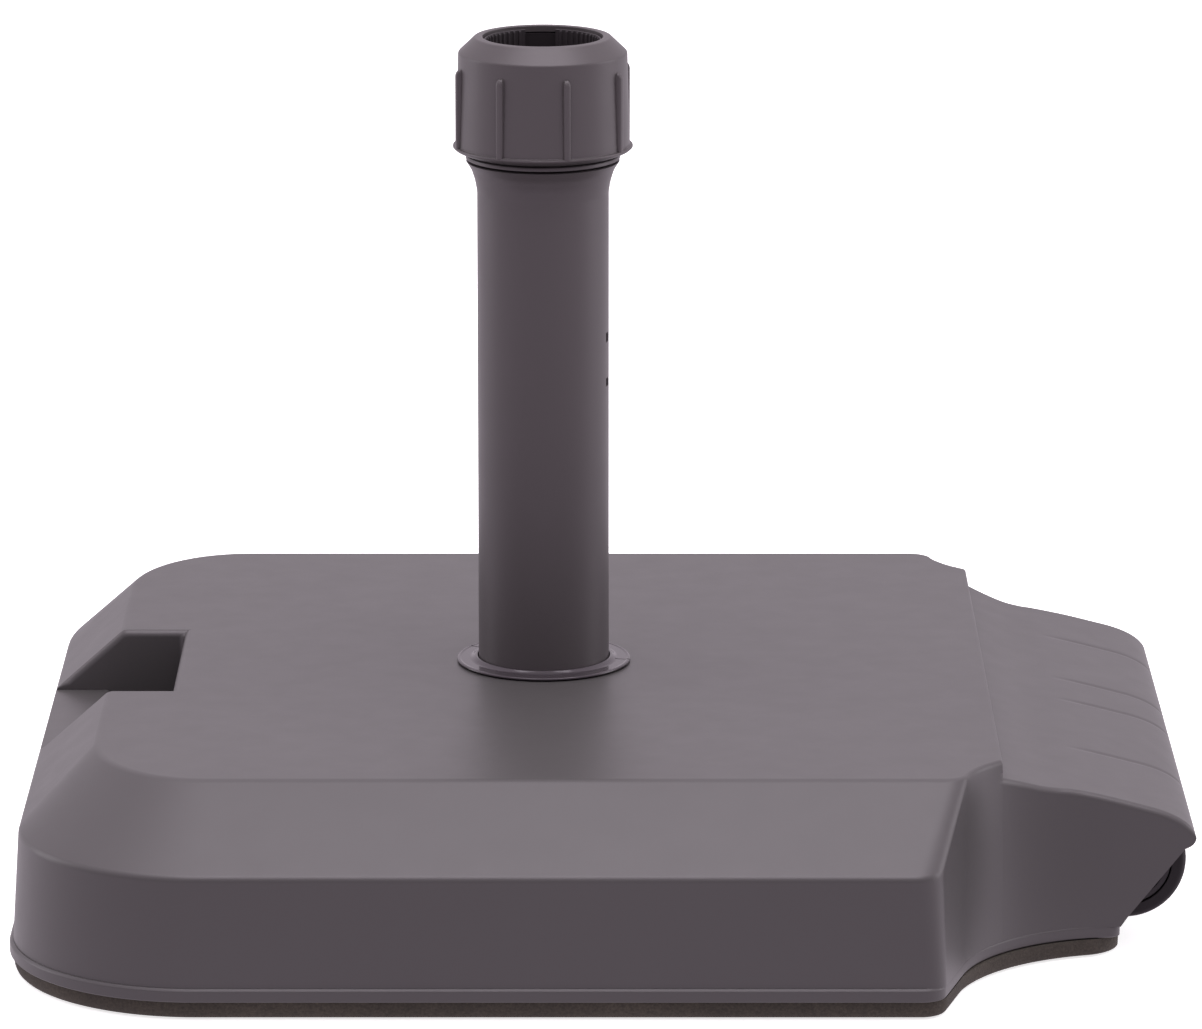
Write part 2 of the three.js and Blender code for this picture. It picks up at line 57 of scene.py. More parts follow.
# ------------------------------------------------------------------ sizes, in millimetres

MM = 0.001
GAP = 0.3
BEYOND = 300  # further out than any of the shell, for cutters


def node_box(name):
    """Lowest and highest corner of a CAD node, in millimetres."""
    low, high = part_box(name)
    return [value / MM for value in low], [value / MM for value in high]


SHELL_LOW, SHELL_HIGH = node_box("cover_shell")
PIPE_LOW, PIPE_HIGH = node_box("standpipe")
NUT_LOW, NUT_HIGH = node_box("clamp_nut")
RING_LOW, RING_HIGH = node_box("pressure_ring")
SLEEVE_LOW, SLEEVE_HIGH = node_box("thread_sleeve")
SOCKET_LOW, SOCKET_HIGH = node_box("pipe_socket")
FLANGE_LOW, FLANGE_HIGH = node_box("flange_ring")
AXLE_LOW, AXLE_HIGH = node_box("axle")

FOOT_TOP = SHELL_LOW[2]
RIM_TOP = FOOT_TOP + 6
SHOULDER_Z = 62.4
DECK_Z = SHELL_HIGH[2]

SLANT = math.radians(15.5)
SLANT_THROUGH = (188, 210)
SLANT_DRAFT = 0.06
SLANT_REACH = math.cos(SLANT) * SLANT_THROUGH[0] + math.sin(SLANT) * SLANT_THROUGH[1]
HOUSING_HALF_WIDTH = 167.3
HOUSING_DRAFT = 0.078

HOLLOW_AT_FOOT = 76
HOLLOW_AT_DECK = 52


def hollow_at(z):
    """Radius of the hollow beside the slanted wall, which tightens evenly towards the deck."""
    return HOLLOW_AT_FOOT + (HOLLOW_AT_DECK - HOLLOW_AT_FOOT) * max(z - RIM_TOP, 0) / (DECK_Z - RIM_TOP)


# left edge, side edge, front left corner, rear left corner, corner and hollow at the slanted wall
FOOT_PLAN = (232.5, 261.5, (84, 84), (120, 120), 12, 84)
RIM_PLAN = (234.2, 263.8, (85, 85), (121, 121), 11, 78)
BASE_PLAN = (232.6, 262.2, (84, 84), (120, 120), 10, HOLLOW_AT_FOOT)
SHOULDER_PLAN = (229.7, 259.7, (84, 84), (120, 120), 14, hollow_at(SHOULDER_Z))
DECK_PLAN = (197.5, 204, (52.5, 62), (52.5, 62), 11, HOLLOW_AT_DECK)

RIDGE_X = 203
HOUSING_STEP_Z = 83
CROWN = (268, 66.7)
TOP_LINE = (
    (RIDGE_X, HOUSING_STEP_Z),
    (212, 79.7),
    (221, 76.7),
    (228.5, 75.2),
    (236, 74.2),
    (250, 71.3),
    CROWN,
)
GROOVES = (-89, -5, 33, 110)
GROOVE_START_X = 236
GROOVE_RUN_IN = 14
NOSE = (289.5, 53.2)
UNDERCUT_TOP = (284.6, 48)
UNDERCUT_FOOT = (259.2, 17)
UNDERCUT_RUN = Vector((UNDERCUT_TOP[0] - UNDERCUT_FOOT[0], UNDERCUT_TOP[1] - UNDERCUT_FOOT[1])).normalized()
LIP_X = 256.4
RIM_CORNER = 6
FOOT_CORNER = 20

GRIP_HALF_WIDTH = 53
GRIP_INNER_X = 168.6
GRIP_BAR_X = 203
POCKET_FLOOR = 24

AXLE_X = (AXLE_LOW[0] + AXLE_HIGH[0]) / 2
AXLE_Z = (AXLE_LOW[2] + AXLE_HIGH[2]) / 2
AXLE_R = (AXLE_HIGH[0] - AXLE_LOW[0]) / 2
AXLE_BORE_R = AXLE_R + 0.35
TO_AXLE = Matrix.Translation((AXLE_X * MM, 0, AXLE_Z * MM)) @ Matrix.Rotation(-math.pi / 2, 4, "X")
WHEEL_ROOM_R = 27.8
BAY_FACE_Y = 119
BAY_BACK_X = 214
BOSS_Y = 157
BOSS_R = 9

CONCRETE_INSET = 3.8
INNER_RIDGE = 0.8

PIPE_R = 30
PIPE_HOLE_R = 33.8
MOUTH_BORE_R = 29.6
RECESSES = ((242.8, 247.2), (222.2, 226.0))
SLEEVE_BORE_R = 27.2
SLEEVE_FOOT_R = 29.3
THREAD_CORE_R = 32.0
THREAD_CREST_R = 33.2
THREAD_DEPTH = 1.2
NUT_MOUTH_R = 27.2
NUT_BODY_R = 38.4
RIB_TOP_Z = 369.4
RIB_INNER_R = 38.6
RIB_OUTER_R = 41.0
JAW_FOOT_Z = 349.4
JAW_TOP_Z = 379.4
JAW_COUNT = 3
JAW_TURN = math.radians(33)

FLOOR_HALF_WIDTH = 12000
FLOOR_Z = -0.9


# ------------------------------------------------------------------ points and meshes


def arc(centre_x, centre_y, radius_x, radius_y, start, end, steps):
    """Points along an arc, with its angles in degrees."""
    points = []
    for step in range(steps + 1):
        angle = math.radians(start + (end - start) * step / steps)
        points.append((centre_x + radius_x * math.cos(angle), centre_y + radius_y * math.sin(angle)))
    return points


def on_curve(share, *points):
    """The place at a share of the way along the Bezier curve that these points steer."""
    while len(points) > 1:
        points = [start.lerp(end, share) for start, end in zip(points, points[1:])]
    return points[0]


def soften(before, corner, after, setback):
    """Points that round a corner, starting and ending a setback away from it."""
    start = corner + (before - corner).normalized() * setback
    end = corner + (after - corner).normalized() * setback
    return [on_curve(step / 4, start, corner, end) for step in range(5)]


def softened(loop):
    """A closed loop of (x, y, setback) corners, with each corner rounded where it has a setback."""
    corners = [Vector(point[:2]) for point in loop]
    points = []
    for i, (_, _, wanted) in enumerate(loop):
        after = corners[(i + 1) % len(loop)]
        shorter = min((corners[i] - corners[i - 1]).length, (after - corners[i]).length)
        setback = min(wanted, 0.46 * shorter)
        if setback > 0:
            points += soften(corners[i - 1], corners[i], after, setback)
        else:
            points.append(corners[i])
    return [tuple(point) for point in points]


def new_piece(name, points, faces):
    """An object whose points are given in millimetres."""
    mesh = bpy.data.meshes.new(name)
    mesh.from_pydata([(x * MM, y * MM, z * MM) for x, y, z in points], [], faces)
    mesh.validate()
    piece = bpy.data.objects.new(name, mesh)
    bpy.context.collection.objects.link(piece)
    return piece


def grid_faces(rows, columns, close_rows=False):
    """Quads between closed rows of points, each row with the same number of columns."""
    faces = []
    for row in range(rows if close_rows else rows - 1):
        for column in range(columns):
            a = row * columns + column
            b = row * columns + (column + 1) % columns
            up = ((row + 1) % rows - row) * columns
            faces.append((a, b, b + up, a + up))
    return faces


def stack(name, rings):
    """A closed solid through rings of points, from the lowest up, capped at both ends."""
    count = len(rings[0])
    faces = grid_faces(len(rings), count)
    faces.append(tuple(reversed(range(count))))
    faces.append(tuple(range((len(rings) - 1) * count, len(rings) * count)))
    return new_piece(name, [point for ring in rings for point in ring], faces)


def turned(name, profile, steps=128):
    """A closed profile of (radius, height, setback) turned about the Z axis."""
    section = softened(profile)
    points = []
    for step in range(steps):
        angle = 2 * math.pi * step / steps
        points += [(r * math.cos(angle), r * math.sin(angle), z) for r, z in section]
    piece = new_piece(name, points, grid_faces(steps, len(section), close_rows=True))
    face_outwards(piece)
    return piece


def turned_on_axle(name, profile, steps=96):
    """A closed profile of (radius, y, setback) turned about the axle's line."""
    piece = turned(name, profile, steps)
    piece.data.transform(TO_AXLE)
    return piece


def box_piece(name, low, high):
    """A box between two corners, used for cutting and joining."""
    rings = []
    for z in (low[2], high[2]):
        rings.append([(low[0], low[1], z), (high[0], low[1], z), (high[0], high[1], z), (low[0], high[1], z)])
    return stack(name, rings)


def circle(centre_x, centre_y, radius, steps):
    return arc(centre_x, centre_y, radius, radius, 0, 360 - 360 / steps, steps - 1)


def upright_rod(name, radius, low, high, steps):
    """A cylinder round the Z axis."""
    points = circle(0, 0, radius, steps)
    return stack(name, [[(x, y, z) for x, y in points] for z in (low, high)])


def axle_rod(name, radius, y0, y1):
    """A cylinder along the axle's line."""
    points = circle(AXLE_X, AXLE_Z, radius, 64)
    return stack(name, [[(x, y, z) for x, z in points] for y in (y1, y0)])


def prism(name, outline, y0, y1):
    """An outline in X and Z, run along Y."""
    piece = stack(name, [[(x, y, z) for x, z in outline] for y in (y1, y0)])
    face_outwards(piece)
    return piece


def face_outwards(piece):
    """Merges what coincides and turns every face outwards."""
    mesh = bmesh.new()
    mesh.from_mesh(piece.data)
    bmesh.ops.remove_doubles(mesh, verts=mesh.verts, dist=0.002 * MM)
    bmesh.ops.recalc_face_normals(mesh, faces=mesh.faces)
    mesh.to_mesh(piece.data)
    mesh.free()


def settle(piece):
    """Turns the piece with its modifiers into a plain mesh."""
    depsgraph = bpy.context.evaluated_depsgraph_get()
    old = piece.data
    piece.data = bpy.data.meshes.new_from_object(piece.evaluated_get(depsgraph))
    piece.modifiers.clear()
    bpy.data.meshes.remove(old)


def combine(piece, other, operation):
    """Joins, cuts or intersects a piece with another, which is used up."""
    modifier = piece.modifiers.new("shape", "BOOLEAN")
    modifier.operation = operation
    modifier.solver = "EXACT"
    modifier.object = other
    settle(piece)
    if not piece.data.polygons:
        raise RuntimeError(f"{piece.name} vanished when {other.name} was applied to it")
    bpy.data.objects.remove(other)
    return piece


def round_edges(piece, radius, chosen):
    """Rounds the sharp edges whose middle, in millimetres, is chosen."""
    sharp = math.radians(28)
    mesh = bmesh.new()
    mesh.from_mesh(piece.data)
    bmesh.ops.remove_doubles(mesh, verts=mesh.verts, dist=0.004 * MM)
    edges = []
    for edge in mesh.edges:
        if len(edge.link_faces) != 2 or edge.calc_face_angle(0) < sharp:
            continue
        middle = (edge.verts[0].co + edge.verts[1].co) / (2 * MM)
        if chosen(middle):
            edges.append(edge)
    bmesh.ops.bevel(
        mesh,
        geom=edges,
        offset=radius * MM,
        offset_type="OFFSET",
        segments=4,
        profile=0.5,
        affect="EDGES",
        clamp_overlap=False,
    )
    mesh.to_mesh(piece.data)
    mesh.free()


def finish_piece(piece, body, material, stands_for):
    """Smooth shading with crisp corners, the material, the body it rides and what it replaces."""
    piece.data.materials.clear()
    piece.data.materials.append(material)
    for polygon in piece.data.polygons:
        polygon.use_smooth = True
        polygon.material_index = 0
    piece.data.set_sharp_from_angle(angle=math.radians(38))
    weighted = piece.modifiers.new("weighted", "WEIGHTED_NORMAL")
    weighted.keep_sharp = True
    settle(piece)
    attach(piece, body)
    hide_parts(stands_for)


# ------------------------------------------------------------------ the block's plan


def plan(level, z, inset=0, end=BEYOND, end_radius=0):
    """Plan outline at a height, counterclockwise, shrunk all round by inset."""
    left_edge, side_edge, front_corner, rear_corner, nose_radius, hollow_radius = level
    rise = max(z - RIM_TOP, 0)
    left = -(left_edge - inset)
    front = -(side_edge - inset)
    nose = max(nose_radius - inset, 4)
    hollow = hollow_radius + inset
    side = -(HOUSING_HALF_WIDTH - HOUSING_DRAFT * rise - inset)
    wall = SLANT_REACH - SLANT_DRAFT * rise - inset
    slant = math.degrees(SLANT)

    def across(offset, y):
        return (wall + offset + math.sin(SLANT) * y) / math.cos(SLANT)

    half = arc(across(-nose, front + nose), front + nose, nose, nose, -90, -slant, 10)
    centre_x, centre_y = across(hollow, side - hollow), side - hollow
    if end_radius > 0:
        corner_x = end - end_radius
        apart = math.sqrt((hollow + end_radius) ** 2 - (corner_x - centre_x) ** 2)
        meet = math.degrees(math.atan2(apart, corner_x - centre_x))
        half += arc(centre_x, centre_y, hollow, hollow, 180 - slant, meet, 24)
        half += arc(corner_x, centre_y + apart, end_radius, end_radius, meet - 180, 0, 14)
    else:
        half += arc(centre_x, centre_y, hollow, hollow, 180 - slant, 90, 24)
        half += [(end, side)]
    ends = []
    for corner in (front_corner, rear_corner):
        rx, ry = corner[0] - inset, corner[1] - inset
        ends.append(arc(left + rx, front + ry, rx, ry, 180, 270, 36) + half)
    return ends[0] + [(x, -y) for x, y in reversed(ends[1])]


def at_height(points, z):
    return [Vector((x, y, z)) for x, y in points]


def block(name, foot, inset, ridge):
    """The block with its sloping border, shrunk by inset, its ridges rounded by the ridge setback."""
    base = at_height(plan(BASE_PLAN, foot, inset), foot)
    rim = at_height(plan(BASE_PLAN, RIM_TOP, inset), RIM_TOP)
    shoulder_z = SHOULDER_Z - 0.4 * inset
    shoulder = at_height(plan(SHOULDER_PLAN, shoulder_z, inset), shoulder_z)
    deck_z = DECK_Z - inset
    deck = at_height(plan(DECK_PLAN, deck_z, inset), deck_z)
    inner = at_height(plan(DECK_PLAN, deck_z, inset + 8), deck_z)
    columns = []
    for low, foot_point, mid, top, inside in zip(base, rim, shoulder, deck, inner):
        column = [low, foot_point]
        lower_bend = soften(foot_point, mid, top, ridge)
        upper_bend = soften(mid, top, inside, ridge)
        column += lower_bend
        column += [lower_bend[-1].lerp(upper_bend[0], step / 8) for step in range(1, 8)]
        column += upper_bend
        columns.append(column)
    rings = [[column[row] for column in columns] for row in range(len(columns[0]))]
    return stack(name, rings)


def housing_top(inset=0):
    """Front view of the housing's top, from the step to the tip, as points in X and Z."""
    points = [Vector((x - inset, z - inset)) for x, z in TOP_LINE]
    smooth = []
    for i in range(len(points) - 1):
        before = points[max(i - 1, 0)]
        after = points[min(i + 2, len(points) - 1)]
        start, end = points[i], points[i + 1]
        first = start + (end - before) / 6
        second = end - (after - start) / 6
        smooth += [on_curve(step / 6, start, first, second, end) for step in range(6)]
    nose = Vector((NOSE[0] - inset, NOSE[1]))
    first = Vector((CROWN[0] + 12 - inset / 2, CROWN[1] - 3 - inset))
    second = Vector((nose[0] - 1.5, NOSE[1] + 6))
    return smooth + [on_curve(step / 32, points[-1], first, second, nose) for step in range(33)]


def housing_under(inset=0):
    """Front view of the housing's slanted underside, from the lip to the tip."""
    shift = Vector((-inset * UNDERCUT_RUN[1], inset * UNDERCUT_RUN[0]))
    points = [Vector((LIP_X - inset, RIM_TOP + inset)), Vector(UNDERCUT_FOOT) + shift]
    under = Vector(UNDERCUT_TOP) + shift
    nose = Vector((NOSE[0] - inset, NOSE[1]))
    bend = Vector((nose[0], NOSE[1] - 3.5))
    return points + [on_curve(step / 10, under, bend, nose) for step in range(11)]


def housing_outline(inset):
    """Front view of the block and the housing inside the wall, as a closed outline in X and Z."""
    points = [Vector((-BEYOND, -10)), Vector((LIP_X - inset, -10))]
    points += housing_under(inset) + list(reversed(housing_top(inset)))[1::4]
    points += [Vector((RIDGE_X - inset, HOUSING_STEP_Z - inset)), Vector((RIDGE_X - inset, DECK_Z + 5))]
    points.append(Vector((-BEYOND, DECK_Z + 5)))
    return [tuple(point) for point in points]


def height_at(line, x):
    """Height of a line of points in X and Z that runs towards +X."""
    for start, end in zip(line, line[1:]):
        if start[0] <= x <= end[0]:
            return start[1] + (end[1] - start[1]) * (x - start[0]) / max(end[0] - start[0], 1e-9)
    return line[-1][1] if x > line[-1][0] else line[0][1]


def housing_side(x, z):
    """Half the housing's width at a place on its side, wider in the hollow by the slanted wall."""
    rise = max(z - RIM_TOP, 0)
    side = HOUSING_HALF_WIDTH - HOUSING_DRAFT * rise
    wall = SLANT_REACH - SLANT_DRAFT * rise
    hollow = hollow_at(z)
    centre = (wall + hollow - math.sin(SLANT) * (side + hollow)) / math.cos(SLANT)
    if x >= centre:
        return side
    return side + hollow - math.sqrt(hollow**2 - (centre - x) ** 2)


def housing(edge, groove_depth, groove_width):
    """The roller housing as sections across X, with rounded upper edges and four soft grooves."""
    top_line, under_line = housing_top(), housing_under()
    stations = {round(point[0], 2) for point in top_line + under_line}
    stations = sorted(x for x in stations if RIDGE_X + 0.6 < x < NOSE[0] - 0.02)
    stations = [RIDGE_X - 3, RIDGE_X - 0.05, RIDGE_X + 0.05] + stations + [NOSE[0] - 0.01]
    across = []
    for y in GROOVES:
        across += [y + groove_width * k / 3 for k in range(-6, 7)]
    clear = groove_width * 2 + 2
    across += [y for y in range(-140, 141, 10) if min(abs(y - g) for g in GROOVES) > clear]
    across.sort()
    limit = across[-1]
    straight = 112
    flank_steps, edge_steps = 8, 6
    rings = []
    for x in stations:
        inside = 0.4 if x < RIDGE_X - 1 else 0.03 if x < RIDGE_X + 0.5 else 0
        top = height_at(top_line, x) - inside
        low = height_at(under_line, x) if x > LIP_X else RIM_TOP - 1
        ahead, behind = height_at(top_line, min(x + 0.3, NOSE[0])), height_at(top_line, x - 0.3)
        steep = abs(ahead - behind) / 0.6
        reach = min(edge, 0.4 * (top - low))
        drop = min(edge * math.hypot(1, steep), 0.42 * (top - low))
        fade = max(0, min(1, (x - GROOVE_START_X) / GROOVE_RUN_IN))
        ring = []
        for step in range(flank_steps + 1):
            z = low + (top - drop - low) * step / flank_steps
            ring.append((-housing_side(x, z) + inside, z))
        side = housing_side(x, top - drop) - inside
        for step in range(1, edge_steps + 1):
            angle = math.radians(90 * step / edge_steps)
            ring.append((-side + reach * (1 - math.cos(angle)), top - drop * (1 - math.sin(angle))))
        # Beyond the straight part, the points spread evenly to where the rounded edge begins.
        spread = (side - reach - (straight + 1)) / (limit - straight)
        middle = []
        for y in across:
            sunk = sum(math.exp(-(((y - g) / groove_width) ** 2)) for g in GROOVES)
            place = y
            if abs(y) >= straight:
                place = math.copysign(straight + (abs(y) - straight) * spread, y)
            middle.append((place, top - groove_depth * fade * sunk * min(1, (top - low) / 12)))
        ring += middle + [(-y, z) for y, z in reversed(ring)]
        rings.append([(x, y, z) for y, z in ring])
    piece = stack("housing", rings)
    face_outwards(piece)
    return piece


# ------------------------------------------------------------------ materials


def linear(code):
    """An sRGB hex colour as linear RGBA."""
    channels = [int(code[i : i + 2], 16) / 255 for i in (1, 3, 5)]
    return tuple(c / 12.92 if c <= 0.04045 else ((c + 0.055) / 1.055) ** 2.4 for c in channels) + (1,)


def add_node(tree, kind, settings=(), links=()):
    """Adds a node with its settings, (name or input, value), and its links, (input, output)."""
    made = tree.nodes.new(kind)
    for name, value in dict(settings).items():
        if name in made.inputs:
            made.inputs[name].default_value = value
        else:
            setattr(made, name, value)
    for name, output in dict(links).items():
        tree.links.new(made.inputs[name], output)
    return made


def new_material(name):
    material = bpy.data.materials.new(name)
    material.use_nodes = True
    tree = material.node_tree
    return material, tree, tree.nodes["Principled BSDF"]


def moulded(name, colour, roughness, grain_mm, grain_height, variation):
    """Moulded polypropylene: a satin skin with the fine spark-eroded grain of its tool, and a
    faint cloudiness where the melt flowed, so that long highlights break up slightly."""
    material, tree, skin = new_material(name)
    skin.inputs["IOR"].default_value = 1.49
    skin.inputs["Specular Tint"].default_value = linear("#fff5ff")
    place = add_node(tree, "ShaderNodeTexCoord").outputs["Object"]
    noises = []
    for size, detail, roughening in ((grain_mm, 3.0, 0.6), (90, 2.0, 0.5), (16, 4.0, 0.55)):
        settings = {"Scale": 1 / (size * MM), "Detail": detail, "Roughness": roughening}
        noises.append(add_node(tree, "ShaderNodeTexNoise", settings, {"Vector": place}))
    grain, clouds, flow = noises
    base = linear(colour)
    darker = tuple(value * (1 - variation) for value in base[:3]) + (1,)
    lighter = tuple(value * (1 + variation) for value in base[:3]) + (1,)
    tint = add_node(tree, "ShaderNodeMix", {"data_type": "RGBA"})
    tint.inputs[6].default_value = darker
    tint.inputs[7].default_value = lighter
    tree.links.new(tint.inputs[0], clouds.outputs["Fac"])
    tree.links.new(skin.inputs["Base Color"], tint.outputs[2])
    sheen = add_node(
        tree,
        "ShaderNodeMapRange",
        {"From Min": 0.3, "From Max": 0.7, "To Min": roughness - 0.015, "To Max": roughness + 0.015},
        {"Value": flow.outputs["Fac"]},
    )
    tree.links.new(skin.inputs["Roughness"], sheen.outputs["Result"])
    bump = add_node(
        tree,
        "ShaderNodeBump",
        {"Strength": 0.5, "Distance": grain_height * MM},
        {"Height": grain.outputs["Fac"]},
    )
    tree.links.new(skin.inputs["Normal"], bump.outputs["Normal"])
    return material


def cast_concrete(name, colour):
    """Cast concrete: warm grey cement with sand that shows as fine light and dark grains, a dull
    surface and small air holes."""
    material, tree, skin = new_material(name)
    skin.inputs["IOR"].default_value = 1.5
    skin.inputs["Roughness"].default_value = 0.88
    place = add_node(tree, "ShaderNodeTexCoord").outputs["Object"]
    noises = []
    for size, detail, roughening in ((1.1, 4.0, 0.7), (35, 3.0, 0.6)):
        settings = {"Scale": 1 / (size * MM), "Detail": detail, "Roughness": roughening}
        noises.append(add_node(tree, "ShaderNodeTexNoise", settings, {"Vector": place}))
    sand, patches = noises
    holes = add_node(tree, "ShaderNodeTexVoronoi", {"Scale": 1 / (7 * MM)}, {"Vector": place})
    base = linear(colour)
    ramp = add_node(tree, "ShaderNodeValToRGB", {}, {"Fac": sand.outputs["Fac"]})
    ramp.color_ramp.elements[0].position = 0.32
    ramp.color_ramp.elements[0].color = tuple(value * 0.62 for value in base[:3]) + (1,)
    ramp.color_ramp.elements[1].position = 0.68
    ramp.color_ramp.elements[1].color = tuple(value * 1.35 for value in base[:3]) + (1,)
    damp = add_node(
        tree,
        "ShaderNodeMapRange",
        {"From Min": 0.3, "From Max": 0.7, "To Min": 0.82, "To Max": 1.12},
        {"Value": patches.outputs["Fac"]},
    )
    shade = add_node(tree, "ShaderNodeVectorMath", {"operation": "SCALE"}, {"Vector": ramp.outputs["Color"]})
    tree.links.new(shade.inputs["Scale"], damp.outputs["Result"])
    tree.links.new(skin.inputs["Base Color"], shade.outputs["Vector"])
    pit = add_node(
        tree,
        "ShaderNodeMapRange",
        {"From Min": 0.0, "From Max": 0.22, "To Min": 0.0, "To Max": 1.0},
        {"Value": holes.outputs["Distance"]},
    )
    height = add_node(tree, "ShaderNodeMath", {"operation": "ADD"}, {0: sand.outputs["Fac"]})
    tree.links.new(height.inputs[1], pit.outputs["Result"])
    bump = add_node(
        tree, "ShaderNodeBump", {"Strength": 0.7, "Distance": 0.35 * MM}, {"Height": height.outputs["Value"]}
    )
    tree.links.new(skin.inputs["Normal"], bump.outputs["Normal"])
    return material


def plated_steel(name, colour):
    """Bright zinc-plated steel: a metal with a fine drawn finish and slightly uneven gloss."""
    material, tree, skin = new_material(name)
    skin.inputs["Metallic"].default_value = 1.0
    skin.inputs["Base Color"].default_value = linear(colour)
    place = add_node(tree, "ShaderNodeTexCoord").outputs["Object"]
    stretch = add_node(tree, "ShaderNodeMapping", {"Scale": (1.0, 0.04, 1.0)}, {"Vector": place})
    drawn = add_node(
        tree,
        "ShaderNodeTexNoise",
        {"Scale": 1 / (0.8 * MM), "Detail": 3.0},
        {"Vector": stretch.outputs["Vector"]},
    )
    gloss = add_node(
        tree, "ShaderNodeMapRange", {"To Min": 0.24, "To Max": 0.42}, {"Value": drawn.outputs["Fac"]}
    )
    tree.links.new(skin.inputs["Roughness"], gloss.outputs["Result"])
    bump = add_node(
        tree,
        "ShaderNodeBump",
        {"Strength": 0.2, "Distance": 0.05 * MM},
        {"Height": drawn.outputs["Fac"]},
    )
    tree.links.new(skin.inputs["Normal"], bump.outputs["Normal"])
    return material


def finishes():
    """The materials, made once from the finish settings."""
    settings = bpy.context.scene.parasol_finishes
    made = bpy.data.materials
    if "Grained polypropylene" not in made:
        moulded("Grained polypropylene", settings.shell, 0.40, 0.9, 0.05, 0.035)
        moulded("Satin polypropylene tube", settings.pipe, 0.42, 0.8, 0.04, 0.03)
        moulded("Semi-gloss polypropylene", settings.ring, 0.15, 0.9, 0.01, 0.02)
        moulded("Matt nylon, dark", settings.inner, 0.5, 0.8, 0.05, 0.04)
        moulded("Matt nylon, black", settings.wheel, 0.45, 0.8, 0.05, 0.04)
        moulded("Black rubber", settings.tyre, 0.7, 0.7, 0.08, 0.06)
        cast_concrete("Cast concrete", settings.concrete)
        plated_steel("Zinc-plated steel", settings.steel)
    return made


# ------------------------------------------------------------------ settings


def length(name, description, default, low=0.0, high=500.0):
    return FloatProperty(name=name, description=description, default=default, min=low, max=high)


def colour(name, description, default):
    return StringProperty(name=name, description=description, default=default)


class ShellSettings(bpy.types.PropertyGroup):
    wall: length("Wall", "Thickness of the moulded wall, in millimetres", 3.0, 1, 8)
    ridge: length("Ridge rounding", "Setback of the block's rounded ridges, in millimetres", 2.2, 0.5, 6)
    edge: length("Edge rounding", "Radius on the housing's and grip's edges, in millimetres", 3.0, 0.5, 5)
    step: length("Step rounding", "Radius on the step down to the housing, in millimetres", 1.6, 0.5, 5)
    groove_depth: length("Groove depth", "Depth of the housing's four grooves, in millimetres", 0.5, 0.1, 2)
    groove_width: length("Groove width", "Half the width of those grooves, in millimetres", 2.0, 0.3, 4)


class ClampSettings(bpy.types.PropertyGroup):
    ribs: IntProperty(name="Ribs", description="Grip ribs round the nut", default=8, min=3, max=24)
    rib_width: length("Rib width", "Width of a grip rib at its foot, in millimetres", 3.4, 1, 6)
    rib_turn: length("Rib turn", "Turn of the first rib from the X axis, in degrees", 16.3, 0, 90)
    teeth: IntProperty(name="Teeth", description="Grip teeth on a jaw", default=13, min=3, max=30)
    pitch: length("Thread pitch", "Rise of the thread in one turn, in millimetres", 4.0, 1, 8)


class RollerSettings(bpy.types.PropertyGroup):
    spokes: IntProperty(name="Spokes", description="Webs on each face of a wheel", default=6, min=3, max=12)
    tread: IntProperty(name="Tread grooves", description="Grooves round a tyre", default=3, min=1, max=6)


class FinishSettings(bpy.types.PropertyGroup):
    shell: colour("Shell", "Moulded cover shell", "#474545")
    pipe: colour("Pipe", "Standpipe, sleeve and nut", "#484445")
    ring: colour("Ring", "Cover ring on the deck", "#3b363a")
    inner: colour("Inner", "Jaws, pressure ring and socket", "#302c2e")
    wheel: colour("Wheel", "Wheel hubs", "#0e0c0b")
    tyre: colour("Tyre", "Tyres", "#0b0908")
    concrete: colour("Concrete", "Ballast", "#3d3730")
    steel: colour("Steel", "Axle and spacers", "#c2c2c4")


class StageSettings(bpy.types.PropertyGroup):
    camera: FloatVectorProperty(
        name="Camera",
        description="Place of the camera",
        default=(0.02639, -3.35868, 0.97919),
        subtype="TRANSLATION",
    )
    pitch: FloatProperty(name="Camera pitch", description="Degrees below the horizon", default=13.706)
    lens: FloatProperty(name="Lens", description="Focal length, 36 mm sensor", default=225.3, unit="CAMERA")
    overhead: FloatProperty(name="Overhead", description="Brightness of the surround overhead", default=1.1)
    back: FloatProperty(name="Behind", description="Brightness of the horizon behind", default=0.82)
    front: FloatProperty(name="In front", description="Brightness of the horizon in front", default=0.32)
    ground: FloatProperty(name="Ground", description="Brightness of the surround from below", default=1.05)
    overhead_power: FloatProperty(name="Overhead softbox", description="Its power", default=44, unit="POWER")
    left_power: FloatProperty(name="Left softbox", description="Its power", default=11, unit="POWER")
    right_power: FloatProperty(name="Right softbox", description="Its power", default=15, unit="POWER")


# ------------------------------------------------------------------ cover shell


def one_side(sign, near, far):
    """The lower and the higher Y between two distances from the middle, on one side of it."""
    return sorted((sign * near, sign * far))


def grip_cutter(wall):
    """The notch over the grip bar with the finger pocket behind it, or its lining."""
    half = GRIP_HALF_WIDTH + wall
    inner = -GRIP_INNER_X + wall
    notch = box_piece("notch", (-320, -half, SHOULDER_Z - wall), (inner, half, DECK_Z + 20))
    pocket = box_piece("pocket", (-GRIP_BAR_X - wall, -half, POCKET_FLOOR - wall), (inner, half, DECK_Z))
    return combine(notch, pocket, "UNION")


def bay_opening(sign):
    """Where one roller reaches out through the slanted underside."""
    outline = [
        (LIP_X - 8, RIM_TOP + 1.5),
        (LIP_X + 20, RIM_TOP + 1.5),
        (NOSE[0] + 20, UNDERCUT_TOP[1] + 1),
        (UNDERCUT_TOP[0] - 2.5, UNDERCUT_TOP[1] + 1),
    ]
    return prism("bay", outline, *one_side(sign, BAY_FACE_Y, HOUSING_HALF_WIDTH - 5))


